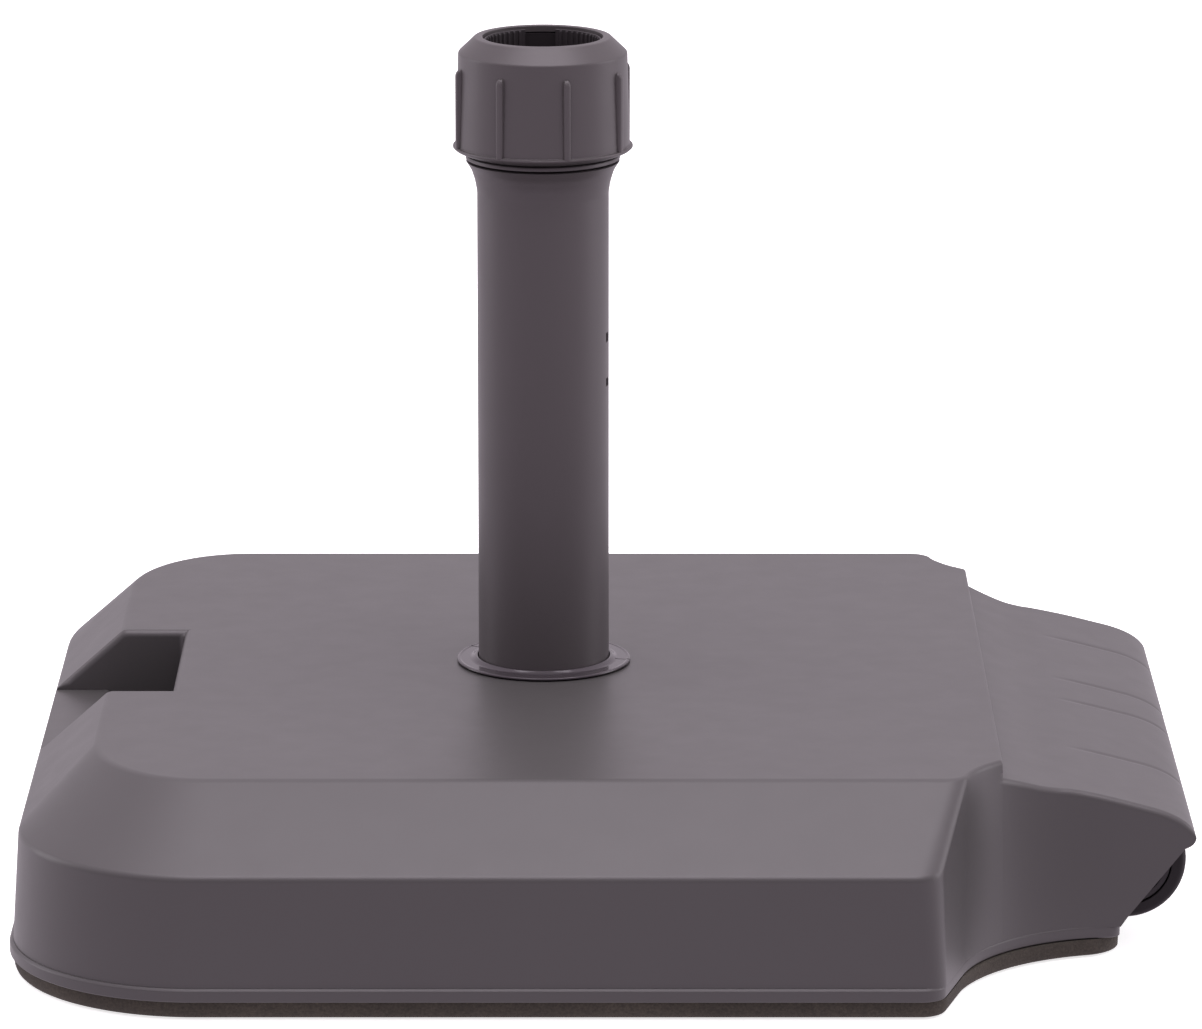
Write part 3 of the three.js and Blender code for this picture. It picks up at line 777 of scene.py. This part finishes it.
def axle_slot(sign):
    """The snap-in slot from the axle's hole out through the slanted underside."""
    out = Vector((UNDERCUT_RUN[1], -UNDERCUT_RUN[0])) * 40
    half = UNDERCUT_RUN * 3.6
    centre = Vector((AXLE_X, AXLE_Z))
    outline = [centre - half, centre - half + out, centre + half + out, centre + half]
    edges = one_side(sign, BAY_FACE_Y - 4, AXLE_HIGH[1] + 0.8)
    return prism("slot", [tuple(point) for point in outline], *edges)


def rim_band():
    """The slightly proud band along the shell's lower edge."""
    edge = [(FOOT_TOP, 0.5), (FOOT_TOP + 0.5, 0), (RIM_TOP - 1.5, 0)]
    edge += [(RIM_TOP - 0.9, 0.25), (RIM_TOP - 0.2, 1.1), (RIM_TOP, 1.4)]
    return stack("rim", [at_height(plan(RIM_PLAN, z, inset, LIP_X, RIM_CORNER), z) for z, inset in edge])


def housing_inside(wall):
    """The hollow inside the shell, without the bay walls and the linings of the grip."""
    inside = block("inside", -5, wall, INNER_RIDGE)
    combine(inside, prism("profile", housing_outline(wall), -BEYOND, BEYOND), "INTERSECT")
    back, low = BAY_BACK_X - wall, FOOT_TOP + 1
    for sign in (-1, 1):
        web = one_side(sign, BAY_FACE_Y - wall, BAY_FACE_Y)
        side = one_side(sign, BAY_FACE_Y, HOUSING_HALF_WIDTH + 5)
        walls = (
            box_piece("web", (back, web[0], low), (320, web[1], 120)),
            box_piece("back", (back, side[0], low), (BAY_BACK_X, side[1], 120)),
            box_piece("floor", (back, side[0], low), (320, side[1], low + 1.5)),
            axle_rod("boss", BOSS_R, *one_side(sign, BOSS_Y, 200)),
        )
        for part in walls:
            combine(inside, part, "DIFFERENCE")
    return combine(inside, grip_cutter(wall), "DIFFERENCE")


def on_grip_edge(point):
    """True on the outer edges of the grip's notch and on the bar's inner edge."""
    x, y, z = point
    if x > -GRIP_INNER_X + 0.5 or abs(y) > GRIP_HALF_WIDTH + 0.2 or z < SHOULDER_Z - 0.5:
        return False
    at_side = abs(abs(y) - GRIP_HALF_WIDTH) < 0.1 and z > SHOULDER_Z + 1.5
    at_end = abs(x + GRIP_INNER_X) < 0.1 and z > DECK_Z - 0.5
    at_bar = abs(x + GRIP_BAR_X) < 0.1 and z < SHOULDER_Z + 0.5 and abs(y) < GRIP_HALF_WIDTH - 0.5
    return at_side or at_end or at_bar


def on_step(point):
    """True on the block's edge over the step down to the housing."""
    return abs(point[0] - RIDGE_X) < 0.1 and point[2] > HOUSING_STEP_Z + 1


def cover_shell():
    settings = bpy.context.scene.parasol_shell
    shell = block("Cover_shell", RIM_TOP - 1, 0, settings.ridge)
    limit = box_piece("limit", (-BEYOND, -BEYOND, 0), (RIDGE_X, BEYOND, DECK_Z + 5))
    combine(shell, limit, "INTERSECT")
    round_edges(shell, settings.step, on_step)
    combine(shell, grip_cutter(0), "DIFFERENCE")
    round_edges(shell, settings.edge, on_grip_edge)
    combine(shell, housing(settings.edge, settings.groove_depth, settings.groove_width), "UNION")
    combine(shell, rim_band(), "UNION")
    combine(shell, housing_inside(settings.wall), "DIFFERENCE")
    for sign in (-1, 1):
        combine(shell, bay_opening(sign), "DIFFERENCE")
        combine(shell, axle_slot(sign), "DIFFERENCE")
        room = axle_rod("room", WHEEL_ROOM_R, *one_side(sign, BAY_FACE_Y, BOSS_Y - 1))
        combine(shell, room, "DIFFERENCE")
    combine(shell, axle_rod("axle_hole", AXLE_R + 0.4, AXLE_LOW[1] - 0.8, AXLE_HIGH[1] + 0.8), "DIFFERENCE")
    combine(shell, upright_rod("pipe_hole", PIPE_HOLE_R, DECK_Z - 15, DECK_Z + 15, 128), "DIFFERENCE")
    finish_piece(shell, "base", finishes()["Grained polypropylene"], "cover_shell")


class PARASOL_OT_shell(bpy.types.Operator):
    """Build the moulded cover shell with its roller housing and carrying grip"""

    bl_idname = "parasol.shell"
    bl_label = "Cover shell"

    def execute(self, context):
        cover_shell()
        return {"FINISHED"}


# ------------------------------------------------------------------ concrete


def foot():
    """The ballast: its foot below the rim with a rounded lower edge, and the block inside."""
    rings = []
    for z, inset in ((0, 2.6), (0.4, 1.6), (1.2, 0.8), (2.6, 0.25), (4.5, 0), (FOOT_TOP - GAP, 0)):
        rings.append(at_height(plan(FOOT_PLAN, z, inset, LIP_X, FOOT_CORNER), z))
    piece = stack("Concrete_foot", rings)
    body = block("body", FOOT_TOP - 2, CONCRETE_INSET, INNER_RIDGE)
    limit = box_piece("limit", (-BEYOND, -BEYOND, 0), (RIDGE_X - CONCRETE_INSET, BEYOND, DECK_Z))
    combine(body, limit, "INTERSECT")
    combine(piece, body, "UNION")
    combine(piece, grip_cutter(CONCRETE_INSET), "DIFFERENCE")
    combine(piece, upright_rod("hole", PIPE_HOLE_R, SOCKET_LOW[2] - GAP, DECK_Z + 5, 96), "DIFFERENCE")
    finish_piece(piece, "base", finishes()["Cast concrete"], "concrete_core")


class PARASOL_OT_ballast(bpy.types.Operator):
    """Build the concrete ballast"""

    bl_idname = "parasol.ballast"
    bl_label = "Ballast"

    def execute(self, context):
        foot()
        return {"FINISHED"}


# ------------------------------------------------------------------ standpipe


def standpipe():
    inner = PIPE_R - 2.6
    top = PIPE_HIGH[2]
    mouth = PIPE_HIGH[0]
    piece = turned(
        "Standpipe",
        [
            (inner, PIPE_LOW[2], 0.5),
            (PIPE_R, PIPE_LOW[2], 0.8),
            (PIPE_R, top - 14.4, 1.2),
            (PIPE_R + 0.9, top - 9.2, 1.6),
            (PIPE_R + 2.5, top - 4.2, 1.4),
            (mouth - 0.4, top - 0.8, 0.4),
            (mouth, top - 0.3, 0.2),
            (mouth - 0.8, top, 0.2),
            (MOUTH_BORE_R, top, 0.3),
            (MOUTH_BORE_R, top - 22.2, 0.5),
            (inner, top - 24.2, 0.5),
        ],
    )
    for low, high in RECESSES:
        recess = box_piece("recess", (PIPE_R - 1.2, -2.0, low), (PIPE_R + 2, 2.0, high))
        recess.data.transform(Matrix.Rotation(math.radians(-13), 4, "Z"))
        combine(piece, recess, "DIFFERENCE")
    finish_piece(piece, "base", finishes()["Satin polypropylene tube"], "standpipe")


def pipe_socket():
    hole = PIPE_R + GAP
    outer = SOCKET_HIGH[0]
    floor = SOCKET_LOW[2] + 6
    piece = turned(
        "Pipe_socket",
        [
            (hole, DECK_Z, 0.4),
            (hole, floor, 0.5),
            (8, floor, 0.4),
            (8, SOCKET_LOW[2], 0.4),
            (outer, SOCKET_LOW[2], 0.6),
            (outer, DECK_Z, 0.4),
        ],
    )
    finish_piece(piece, "base", finishes()["Matt nylon, dark"], "pipe_socket")


def flange_ring():
    hole = PIPE_R + GAP
    edge = FLANGE_HIGH[0]
    low, top = FLANGE_LOW[2], FLANGE_HIGH[2]
    piece = turned(
        "Flange_ring",
        [
            (hole, low, 0.2),
            (edge - 1.4, low, 0.2),
            (edge - 0.9, low + 0.35, 0.2),
            (edge, low + 0.45, 0.2),
            (edge - 0.1, low + 1.2, 0.4),
            (edge - 1.0, low + 1.55, 0.5),
            (edge - 1.8, low + 1.25, 0.5),
            (PIPE_R + 3.6, low + 1.3, 1.0),
            (PIPE_R + 2.2, top + 0.3, 0.8),
            (PIPE_R + 1.4, top + 0.9, 0.4),
            (hole + 0.2, top + 0.8, 0.3),
            (hole, top, 0.2),
        ],
        160,
    )
    for angle in (math.radians(-7), math.radians(150)):
        cut = box_piece("seam", (PIPE_R + 3.0, -0.35, low + 1.0), (edge + 1, 0.35, top + 1))
        cut.data.transform(Matrix.Rotation(angle, 4, "Z"))
        combine(piece, cut, "DIFFERENCE")
    finish_piece(piece, "base", finishes()["Semi-gloss polypropylene"], "flange_ring")


class PARASOL_OT_standpipe(bpy.types.Operator):
    """Build the standpipe, its socket and the cover ring on the deck"""

    bl_idname = "parasol.standpipe"
    bl_label = "Standpipe"

    def execute(self, context):
        standpipe()
        pipe_socket()
        flange_ring()
        return {"FINISHED"}


# ------------------------------------------------------------------ repeats, by geometry nodes


def ring_of(piece, count, turn, span, material):
    """Replaces a small piece by copies of it round the Z axis, spread over a span of angles.

    The tree has Count, Turn and Span as its inputs and ends in real geometry."""
    tree = bpy.data.node_groups.new(f"{piece.name} ring", "GeometryNodeTree")
    face = tree.interface
    face.new_socket("Geometry", in_out="INPUT", socket_type="NodeSocketGeometry")
    wanted = [("Count", "NodeSocketInt", count)]
    wanted += [("Turn", "NodeSocketFloat", turn), ("Span", "NodeSocketFloat", span)]
    sockets = {name: face.new_socket(name, in_out="INPUT", socket_type=kind) for name, kind, _ in wanted}
    face.new_socket("Geometry", in_out="OUTPUT", socket_type="NodeSocketGeometry")
    start = add_node(tree, "NodeGroupInput")
    given = start.outputs
    line = add_node(
        tree,
        "GeometryNodeMeshLine",
        {"mode": "OFFSET", "Offset": (0, 0, 0)},
        {"Count": given["Count"]},
    )
    copies = add_node(
        tree,
        "GeometryNodeInstanceOnPoints",
        {},
        {"Points": line.outputs["Mesh"], "Instance": given["Geometry"]},
    )
    index = add_node(tree, "GeometryNodeInputIndex")
    share = add_node(
        tree, "ShaderNodeMath", {"operation": "DIVIDE"}, {0: index.outputs[0], 1: given["Count"]}
    )
    angle = add_node(
        tree,
        "ShaderNodeMath",
        {"operation": "MULTIPLY_ADD"},
        {0: share.outputs[0], 1: given["Span"], 2: given["Turn"]},
    )
    spin = add_node(tree, "ShaderNodeCombineXYZ", {}, {"Z": angle.outputs[0]})
    turned_copies = add_node(
        tree,
        "GeometryNodeRotateInstances",
        {"Local Space": False},
        {"Instances": copies.outputs["Instances"], "Rotation": spin.outputs[0]},
    )
    spun = turned_copies.outputs["Instances"]
    real = add_node(tree, "GeometryNodeRealizeInstances", {}, {"Geometry": spun}).outputs["Geometry"]
    skin = add_node(tree, "GeometryNodeSetMaterial", {"Material": material}, {"Geometry": real})
    add_node(tree, "NodeGroupOutput", {}, {"Geometry": skin.outputs["Geometry"]})
    modifier = piece.modifiers.new("ring", "NODES")
    modifier.node_group = tree
    for name, _, value in wanted:
        modifier[sockets[name].identifier] = value
    settle(piece)


# ------------------------------------------------------------------ clamp


def nut_rib(width, low):
    """A grip rib: a bar with rounded flanks and a rounded upper end, along the X axis."""
    cap = 3
    cap_foot = RIB_TOP_Z - cap
    levels = [(low + (cap_foot - low) * step / 4, 1.0) for step in range(5)]
    for angle in (20, 40, 58, 72, 82):
        turn = math.radians(angle)
        levels.append((cap_foot + cap * math.sin(turn), math.cos(turn)))
    rings = []
    for z, share in levels:
        out = (RIB_OUTER_R - RIB_INNER_R) * share
        half = width / 2 * (0.35 + 0.65 * share)
        flank = [
            (RIB_INNER_R - 1.5, half * 1.1),
            (RIB_INNER_R + 0.15, half * 1.05),
            (RIB_INNER_R + out * 0.72, half * 0.95),
            (RIB_INNER_R + out * 0.94, half * 0.7),
            (RIB_INNER_R + out, half * 0.35),
        ]
        rings.append([(x, -y, z) for x, y in flank] + [(x, y, z) for x, y in reversed(flank)])
    return stack("nut_rib", rings)


def clamp_nut():
    settings = bpy.context.scene.parasol_clamp
    low, top = NUT_LOW[2], NUT_HIGH[2]
    flange = NUT_HIGH[0]
    bore = RING_HIGH[0] + GAP
    material = finishes()["Satin polypropylene tube"]
    nut = turned(
        "Clamp_nut",
        [
            (bore, low, 0.3),
            (36.2, low, 0.4),
            (flange - 1.2, low + 1.5, 0.5),
            (flange, low + 2.6, 0.3),
            (flange - 0.2, low + 3.4, 0.3),
            (39.5, low + 3.6, 0.3),
            (NUT_BODY_R, top - 7.4, 0.8),
            (32.2, top - 1.5, 0.7),
            (31.0, top - 0.3, 0.6),
            (28.4, top, 0.4),
            (NUT_MOUTH_R + 0.1, top - 0.3, 0.3),
            (NUT_MOUTH_R, top - 3.2, 0.3),
            (bore, top - 3.2, 0.4),
        ],
        160,
    )
    rib = nut_rib(settings.rib_width, low + 3.2)
    ring_of(rib, settings.ribs, math.radians(settings.rib_turn), 2 * math.pi, material)
    combine(nut, rib, "UNION")
    finish_piece(nut, "clamp_nut", material, "clamp_nut")


def thread_ridge(pitch, low, high):
    """A helical ridge of trapezoidal section that runs out to nothing at both ends."""
    root = THREAD_CREST_R - THREAD_DEPTH
    steps, run_out = 72, 9
    turns = (high - low - pitch) / pitch
    count = int(turns * steps)
    rings = []
    for step in range(count + 1):
        angle = 2 * math.pi * step / steps
        fade = min(1, step / run_out, (count - step) / run_out)
        crest = THREAD_CREST_R - THREAD_DEPTH * (1 - fade)
        z = low + pitch / 2 + turns * pitch * step / count
        section = ((root - 0.6, -1.6), (root, -1.5), (crest + 0.001, -0.6))
        section += tuple((r, -h) for r, h in reversed(section))
        rings.append([(r * math.cos(angle), r * math.sin(angle), z + h) for r, h in section])
    piece = stack("thread", rings)
    face_outwards(piece)
    return piece


def thread_sleeve():
    settings = bpy.context.scene.parasol_clamp
    top = SLEEVE_HIGH[2]
    collar = SLEEVE_HIGH[0]
    collar_low = PIPE_HIGH[2] + 0.9
    collar_top = collar_low + 2.1
    piece = turned(
        "Thread_sleeve",
        [
            (SLEEVE_BORE_R, SLEEVE_LOW[2], 0.4),
            (SLEEVE_FOOT_R, SLEEVE_LOW[2], 0.5),
            (SLEEVE_FOOT_R, collar_low, 0.3),
            (collar, collar_low, 0.5),
            (collar - 0.2, collar_top - 0.3, 0.6),
            (collar - 1.6, collar_top, 0.5),
            (THREAD_CORE_R, collar_top, 0.4),
            (THREAD_CORE_R, top, 0.6),
            (SLEEVE_BORE_R, top, 0.5),
        ],
    )
    combine(piece, thread_ridge(settings.pitch, collar_top + 0.8, top - 0.8), "UNION")
    finish_piece(piece, "base", finishes()["Satin polypropylene tube"], "thread_sleeve")


def pressure_ring():
    low, top = RING_LOW[2], RING_HIGH[2]
    outer = RING_HIGH[0]
    piece = turned(
        "Pressure_ring",
        [(31.6, low, 0.4), (outer, low, 0.5), (outer, top, 0.6), (27.7, top, 0.4)],
    )
    finish_piece(piece, "pressure_ring", finishes()["Matt nylon, dark"], "pressure_ring")


def jaw(number):
    """A clamping jaw: a sector of a cone with upright teeth on its inner face."""
    settings = bpy.context.scene.parasol_clamp
    name = f"clamp_jaw_{number + 1}"
    middle = JAW_TURN + number * 2 * math.pi / JAW_COUNT
    span = math.radians(89)
    steps = 60
    inner = 25.9
    section = softened(
        [
            (inner, JAW_FOOT_Z, 0.5),
            (31.3, JAW_FOOT_Z, 0.4),
            (27.45, JAW_TOP_Z - 0.3, 0.3),
            (26.75, JAW_TOP_Z, 0.2),
            (26.7, JAW_TOP_Z + 2.2, 0.3),
            (inner, JAW_TOP_Z + 2.2, 0.3),
        ]
    )
    rings = []
    for step in range(steps + 1):
        angle = middle + span * (step / steps - 0.5)
        rings.append([(r * math.cos(angle), r * math.sin(angle), z) for r, z in section])
    piece = stack(name.capitalize(), rings)
    face_outwards(piece)
    material = finishes()["Matt nylon, dark"]
    low, top = JAW_FOOT_Z + 0.6, JAW_TOP_Z + 1.8
    rings = []
    for z, cut in ((low, 0.5), (low + 1.0, 0), (top - 0.8, 0), (top, 0.5)):
        tip = 25.25 + cut
        rings.append([(26.1, -0.85, z), (tip, -0.45, z), (tip, 0.45, z), (26.1, 0.85, z)])
    tooth = stack("tooth", rings)
    face_outwards(tooth)
    usable = math.radians(84)
    first = middle - usable / 2 + usable / settings.teeth / 2
    ring_of(tooth, settings.teeth, first, usable, material)
    combine(piece, tooth, "UNION")
    finish_piece(piece, name, material, name)


class PARASOL_OT_clamp(bpy.types.Operator):
    """Build the threaded sleeve, the nut, the pressure ring and the jaws"""

    bl_idname = "parasol.clamp"
    bl_label = "Clamp"

    def execute(self, context):
        thread_sleeve()
        clamp_nut()
        pressure_ring()
        for number in range(JAW_COUNT):
            jaw(number)
        return {"FINISHED"}


# ------------------------------------------------------------------ rollers


def hub(end):
    settings = bpy.context.scene.parasol_rollers
    low, high = node_box(f"wheel_hub_{end}")
    radius = (high[0] - low[0]) / 2
    boss = 9
    rim = radius - 2.5
    dish = 5
    material = finishes()["Matt nylon, black"]
    piece = turned_on_axle(
        f"Wheel_hub_{end}",
        [
            (AXLE_BORE_R, low[1], 0.4),
            (boss, low[1], 0.5),
            (boss, low[1] + dish, 0.8),
            (rim, low[1] + dish, 0.8),
            (rim, low[1] + 1, 0.4),
            (radius, low[1] + 1, 0.3),
            (radius, high[1] - 1, 0.3),
            (rim, high[1] - 1, 0.4),
            (rim, high[1] - dish, 0.8),
            (boss, high[1] - dish, 0.8),
            (boss, high[1], 0.5),
            (AXLE_BORE_R, high[1], 0.4),
        ],
    )
    outline = [(8.4, -1.1), (radius - 2, -0.8), (radius - 2, 0.8), (8.4, 1.1)]
    web = stack("web", [[(x, y, z) for x, y in outline] for z in (low[1] + 1.6, high[1] - 1.6)])
    ring_of(web, settings.spokes, 0, 2 * math.pi, material)
    web.data.transform(TO_AXLE)
    combine(piece, web, "UNION")
    finish_piece(piece, f"wheel_{end}", material, f"wheel_hub_{end}")


def tyre(end):
    settings = bpy.context.scene.parasol_rollers
    low, high = node_box(f"tyre_{end}")
    radius = (high[0] - low[0]) / 2
    inner = 20 + GAP
    outline = [(inner, low[1], 0.3), (radius - 1.6, low[1], 1.4), (radius, low[1] + 3.2, 1.4)]
    width = high[1] - low[1]
    for number in range(settings.tread):
        middle = low[1] + width * (number + 1) / (settings.tread + 1)
        outline += [(radius, middle - 1.0, 0.2), (radius - 1.1, middle - 0.6, 0.2)]
        outline += [(radius - 1.1, middle + 0.6, 0.2), (radius, middle + 1.0, 0.2)]
    outline += [(radius, high[1] - 3.2, 1.4), (radius - 1.6, high[1], 1.4), (inner, high[1], 0.3)]
    piece = turned_on_axle(f"Tyre_{end}", outline, 128)
    finish_piece(piece, f"wheel_{end}", finishes()["Black rubber"], f"tyre_{end}")


def spacer(name):
    low, high = node_box(name)
    radius = (high[0] - low[0]) / 2
    outline = [(AXLE_BORE_R, low[1], 0.2), (radius, low[1], 0.4)]
    outline += [(radius, high[1], 0.4), (AXLE_BORE_R, high[1], 0.2)]
    piece = turned_on_axle(name.capitalize(), outline, 64)
    finish_piece(piece, "base", finishes()["Zinc-plated steel"], name)


def axle():
    low, high = AXLE_LOW[1], AXLE_HIGH[1]
    point = AXLE_R - 0.8
    rings = []
    for y, radius in ((low, point), (low + 0.8, AXLE_R), (high - 0.8, AXLE_R), (high, point)):
        rings.append([(x, y, z) for x, z in arc(AXLE_X, AXLE_Z, radius, radius, 360, 7.5, 47)])
    piece = stack("Axle_rod", rings)
    face_outwards(piece)
    finish_piece(piece, "base", finishes()["Zinc-plated steel"], "axle")


class PARASOL_OT_rollers(bpy.types.Operator):
    """Build the wheels, their tyres, the axle and the spacers"""

    bl_idname = "parasol.rollers"
    bl_label = "Rollers"

    def execute(self, context):
        axle()
        for end in ("front", "rear"):
            hub(end)
            tyre(end)
            spacer(f"inner_washer_{end}")
            spacer(f"outer_washer_{end}")
        return {"FINISHED"}


# ------------------------------------------------------------------ stage


def softbox(name, place, target, width, height, power):
    light = bpy.data.lights.new(name, "AREA")
    light.shape = "RECTANGLE"
    light.size = width
    light.size_y = height
    light.energy = power
    lamp = bpy.data.objects.new(name, light)
    lamp.location = place
    lamp.rotation_euler = (Vector(target) - Vector(place)).to_track_quat("-Z", "Y").to_euler()
    bpy.context.collection.objects.link(lamp)


def stage():
    settings = bpy.context.scene.parasol_stage
    scene = bpy.context.scene
    scene.view_settings.view_transform = "Standard"
    world = bpy.data.worlds.new("Studio surround")
    world.use_nodes = True
    tree = world.node_tree
    surround = tree.nodes["Background"]
    direction = add_node(tree, "ShaderNodeTexCoord").outputs["Generated"]
    part = add_node(tree, "ShaderNodeSeparateXYZ", {}, {"Vector": direction}).outputs
    horizon = add_node(
        tree,
        "ShaderNodeMapRange",
        {"From Min": -1.0, "From Max": 1.0, "To Min": settings.front, "To Max": settings.back},
        {"Value": part["Y"]},
    )
    above = add_node(
        tree,
        "ShaderNodeMapRange",
        {"interpolation_type": "SMOOTHSTEP", "From Min": 0.1, "From Max": 0.95, "To Max": settings.overhead},
        {"Value": part["Z"], "To Min": horizon.outputs["Result"]},
    )
    below = add_node(
        tree,
        "ShaderNodeMapRange",
        {"interpolation_type": "SMOOTHSTEP", "From Min": -0.1, "From Max": 0.03, "To Min": settings.ground},
        {"Value": part["Z"], "To Max": above.outputs["Result"]},
    )
    tree.links.new(surround.inputs["Strength"], below.outputs["Result"])
    surround.inputs["Color"].default_value = linear("#fff4ff")
    # The surround only lights the object; what shows of it past the floor's edge is plain white.
    plain = add_node(tree, "ShaderNodeBackground", {"Color": (1, 1, 1, 1), "Strength": 1.0})
    ray = add_node(tree, "ShaderNodeLightPath").outputs["Is Camera Ray"]
    either = add_node(tree, "ShaderNodeMixShader", {}, {"Fac": ray})
    tree.links.new(either.inputs[1], surround.outputs["Background"])
    tree.links.new(either.inputs[2], plain.outputs["Background"])
    tree.links.new(tree.nodes["World Output"].inputs["Surface"], either.outputs["Shader"])
    scene.world = world

    far = FLOOR_HALF_WIDTH
    corners = [(x, y, FLOOR_Z) for x, y in ((-far, -far), (far, -far), (far, far), (-far, far))]
    floor = new_piece("Floor", corners, [(0, 1, 2, 3)])
    floor.visible_diffuse = False
    floor.visible_glossy = False
    paper, tree, skin = new_material("Matt white paper")
    skin.inputs["Base Color"].default_value = linear("#f4f4f4")
    skin.inputs["Roughness"].default_value = 0.9
    skin.inputs["Specular IOR Level"].default_value = 0.0
    skin.inputs["Emission Color"].default_value = (1, 1, 1, 1)
    skin.inputs["Emission Strength"].default_value = 0.7
    floor.data.materials.append(paper)

    softbox("Overhead softbox", (0.1, -0.25, 2.6), (0, 0, 0.1), 2.0, 2.2, settings.overhead_power)
    softbox("Left softbox", (-2.4, 0.7, 0.8), (0, 0, 0.15), 1.0, 1.6, settings.left_power)
    softbox("Right softbox", (2.4, 0.3, 0.8), (0, 0, 0.15), 1.2, 1.6, settings.right_power)

    camera = bpy.data.objects.new("Camera", bpy.data.cameras.new("Camera"))
    camera.data.sensor_width = 36
    camera.data.lens = settings.lens
    camera.data.clip_end = 100
    camera.location = settings.camera
    camera.rotation_euler = (math.radians(90 - settings.pitch), 0, 0)
    bpy.context.collection.objects.link(camera)
    scene.camera = camera


class PARASOL_OT_stage(bpy.types.Operator):
    """Set up the floor, the lights and the camera"""

    bl_idname = "parasol.stage"
    bl_label = "Stage"

    def execute(self, context):
        stage()
        return {"FINISHED"}


# ------------------------------------------------------------------ panel and registration

SETTINGS = (
    ("parasol_shell", ShellSettings),
    ("parasol_clamp", ClampSettings),
    ("parasol_rollers", RollerSettings),
    ("parasol_finishes", FinishSettings),
    ("parasol_stage", StageSettings),
)
OPERATORS = (
    PARASOL_OT_stage,
    PARASOL_OT_shell,
    PARASOL_OT_ballast,
    PARASOL_OT_standpipe,
    PARASOL_OT_clamp,
    PARASOL_OT_rollers,
)


class PARASOL_PT_panel(bpy.types.Panel):
    """Lists the pieces of the parasol base and their settings"""

    bl_idname = "PARASOL_PT_panel"
    bl_label = "Parasol base"
    bl_space_type = "VIEW_3D"
    bl_region_type = "UI"
    bl_category = "Parasol base"

    def draw(self, context):
        for operator in OPERATORS:
            self.layout.operator(operator.bl_idname)
        for name, group in SETTINGS:
            box = self.layout.box()
            for prop in group.__annotations__:
                box.prop(getattr(context.scene, name), prop)


def register():
    for name, group in SETTINGS:
        bpy.utils.register_class(group)
        setattr(bpy.types.Scene, name, PointerProperty(type=group))
    for operator in OPERATORS:
        bpy.utils.register_class(operator)
    bpy.utils.register_class(PARASOL_PT_panel)


def unregister():
    bpy.utils.unregister_class(PARASOL_PT_panel)
    for operator in reversed(OPERATORS):
        bpy.utils.unregister_class(operator)
    for name, group in reversed(SETTINGS):
        delattr(bpy.types.Scene, name)
        bpy.utils.unregister_class(group)


def main():
    register()
    bpy.ops.parasol.stage()
    bpy.ops.parasol.shell()
    bpy.ops.parasol.ballast()
    bpy.ops.parasol.standpipe()
    bpy.ops.parasol.clamp()
    bpy.ops.parasol.rollers()


if __name__ == "__main__":
    main()
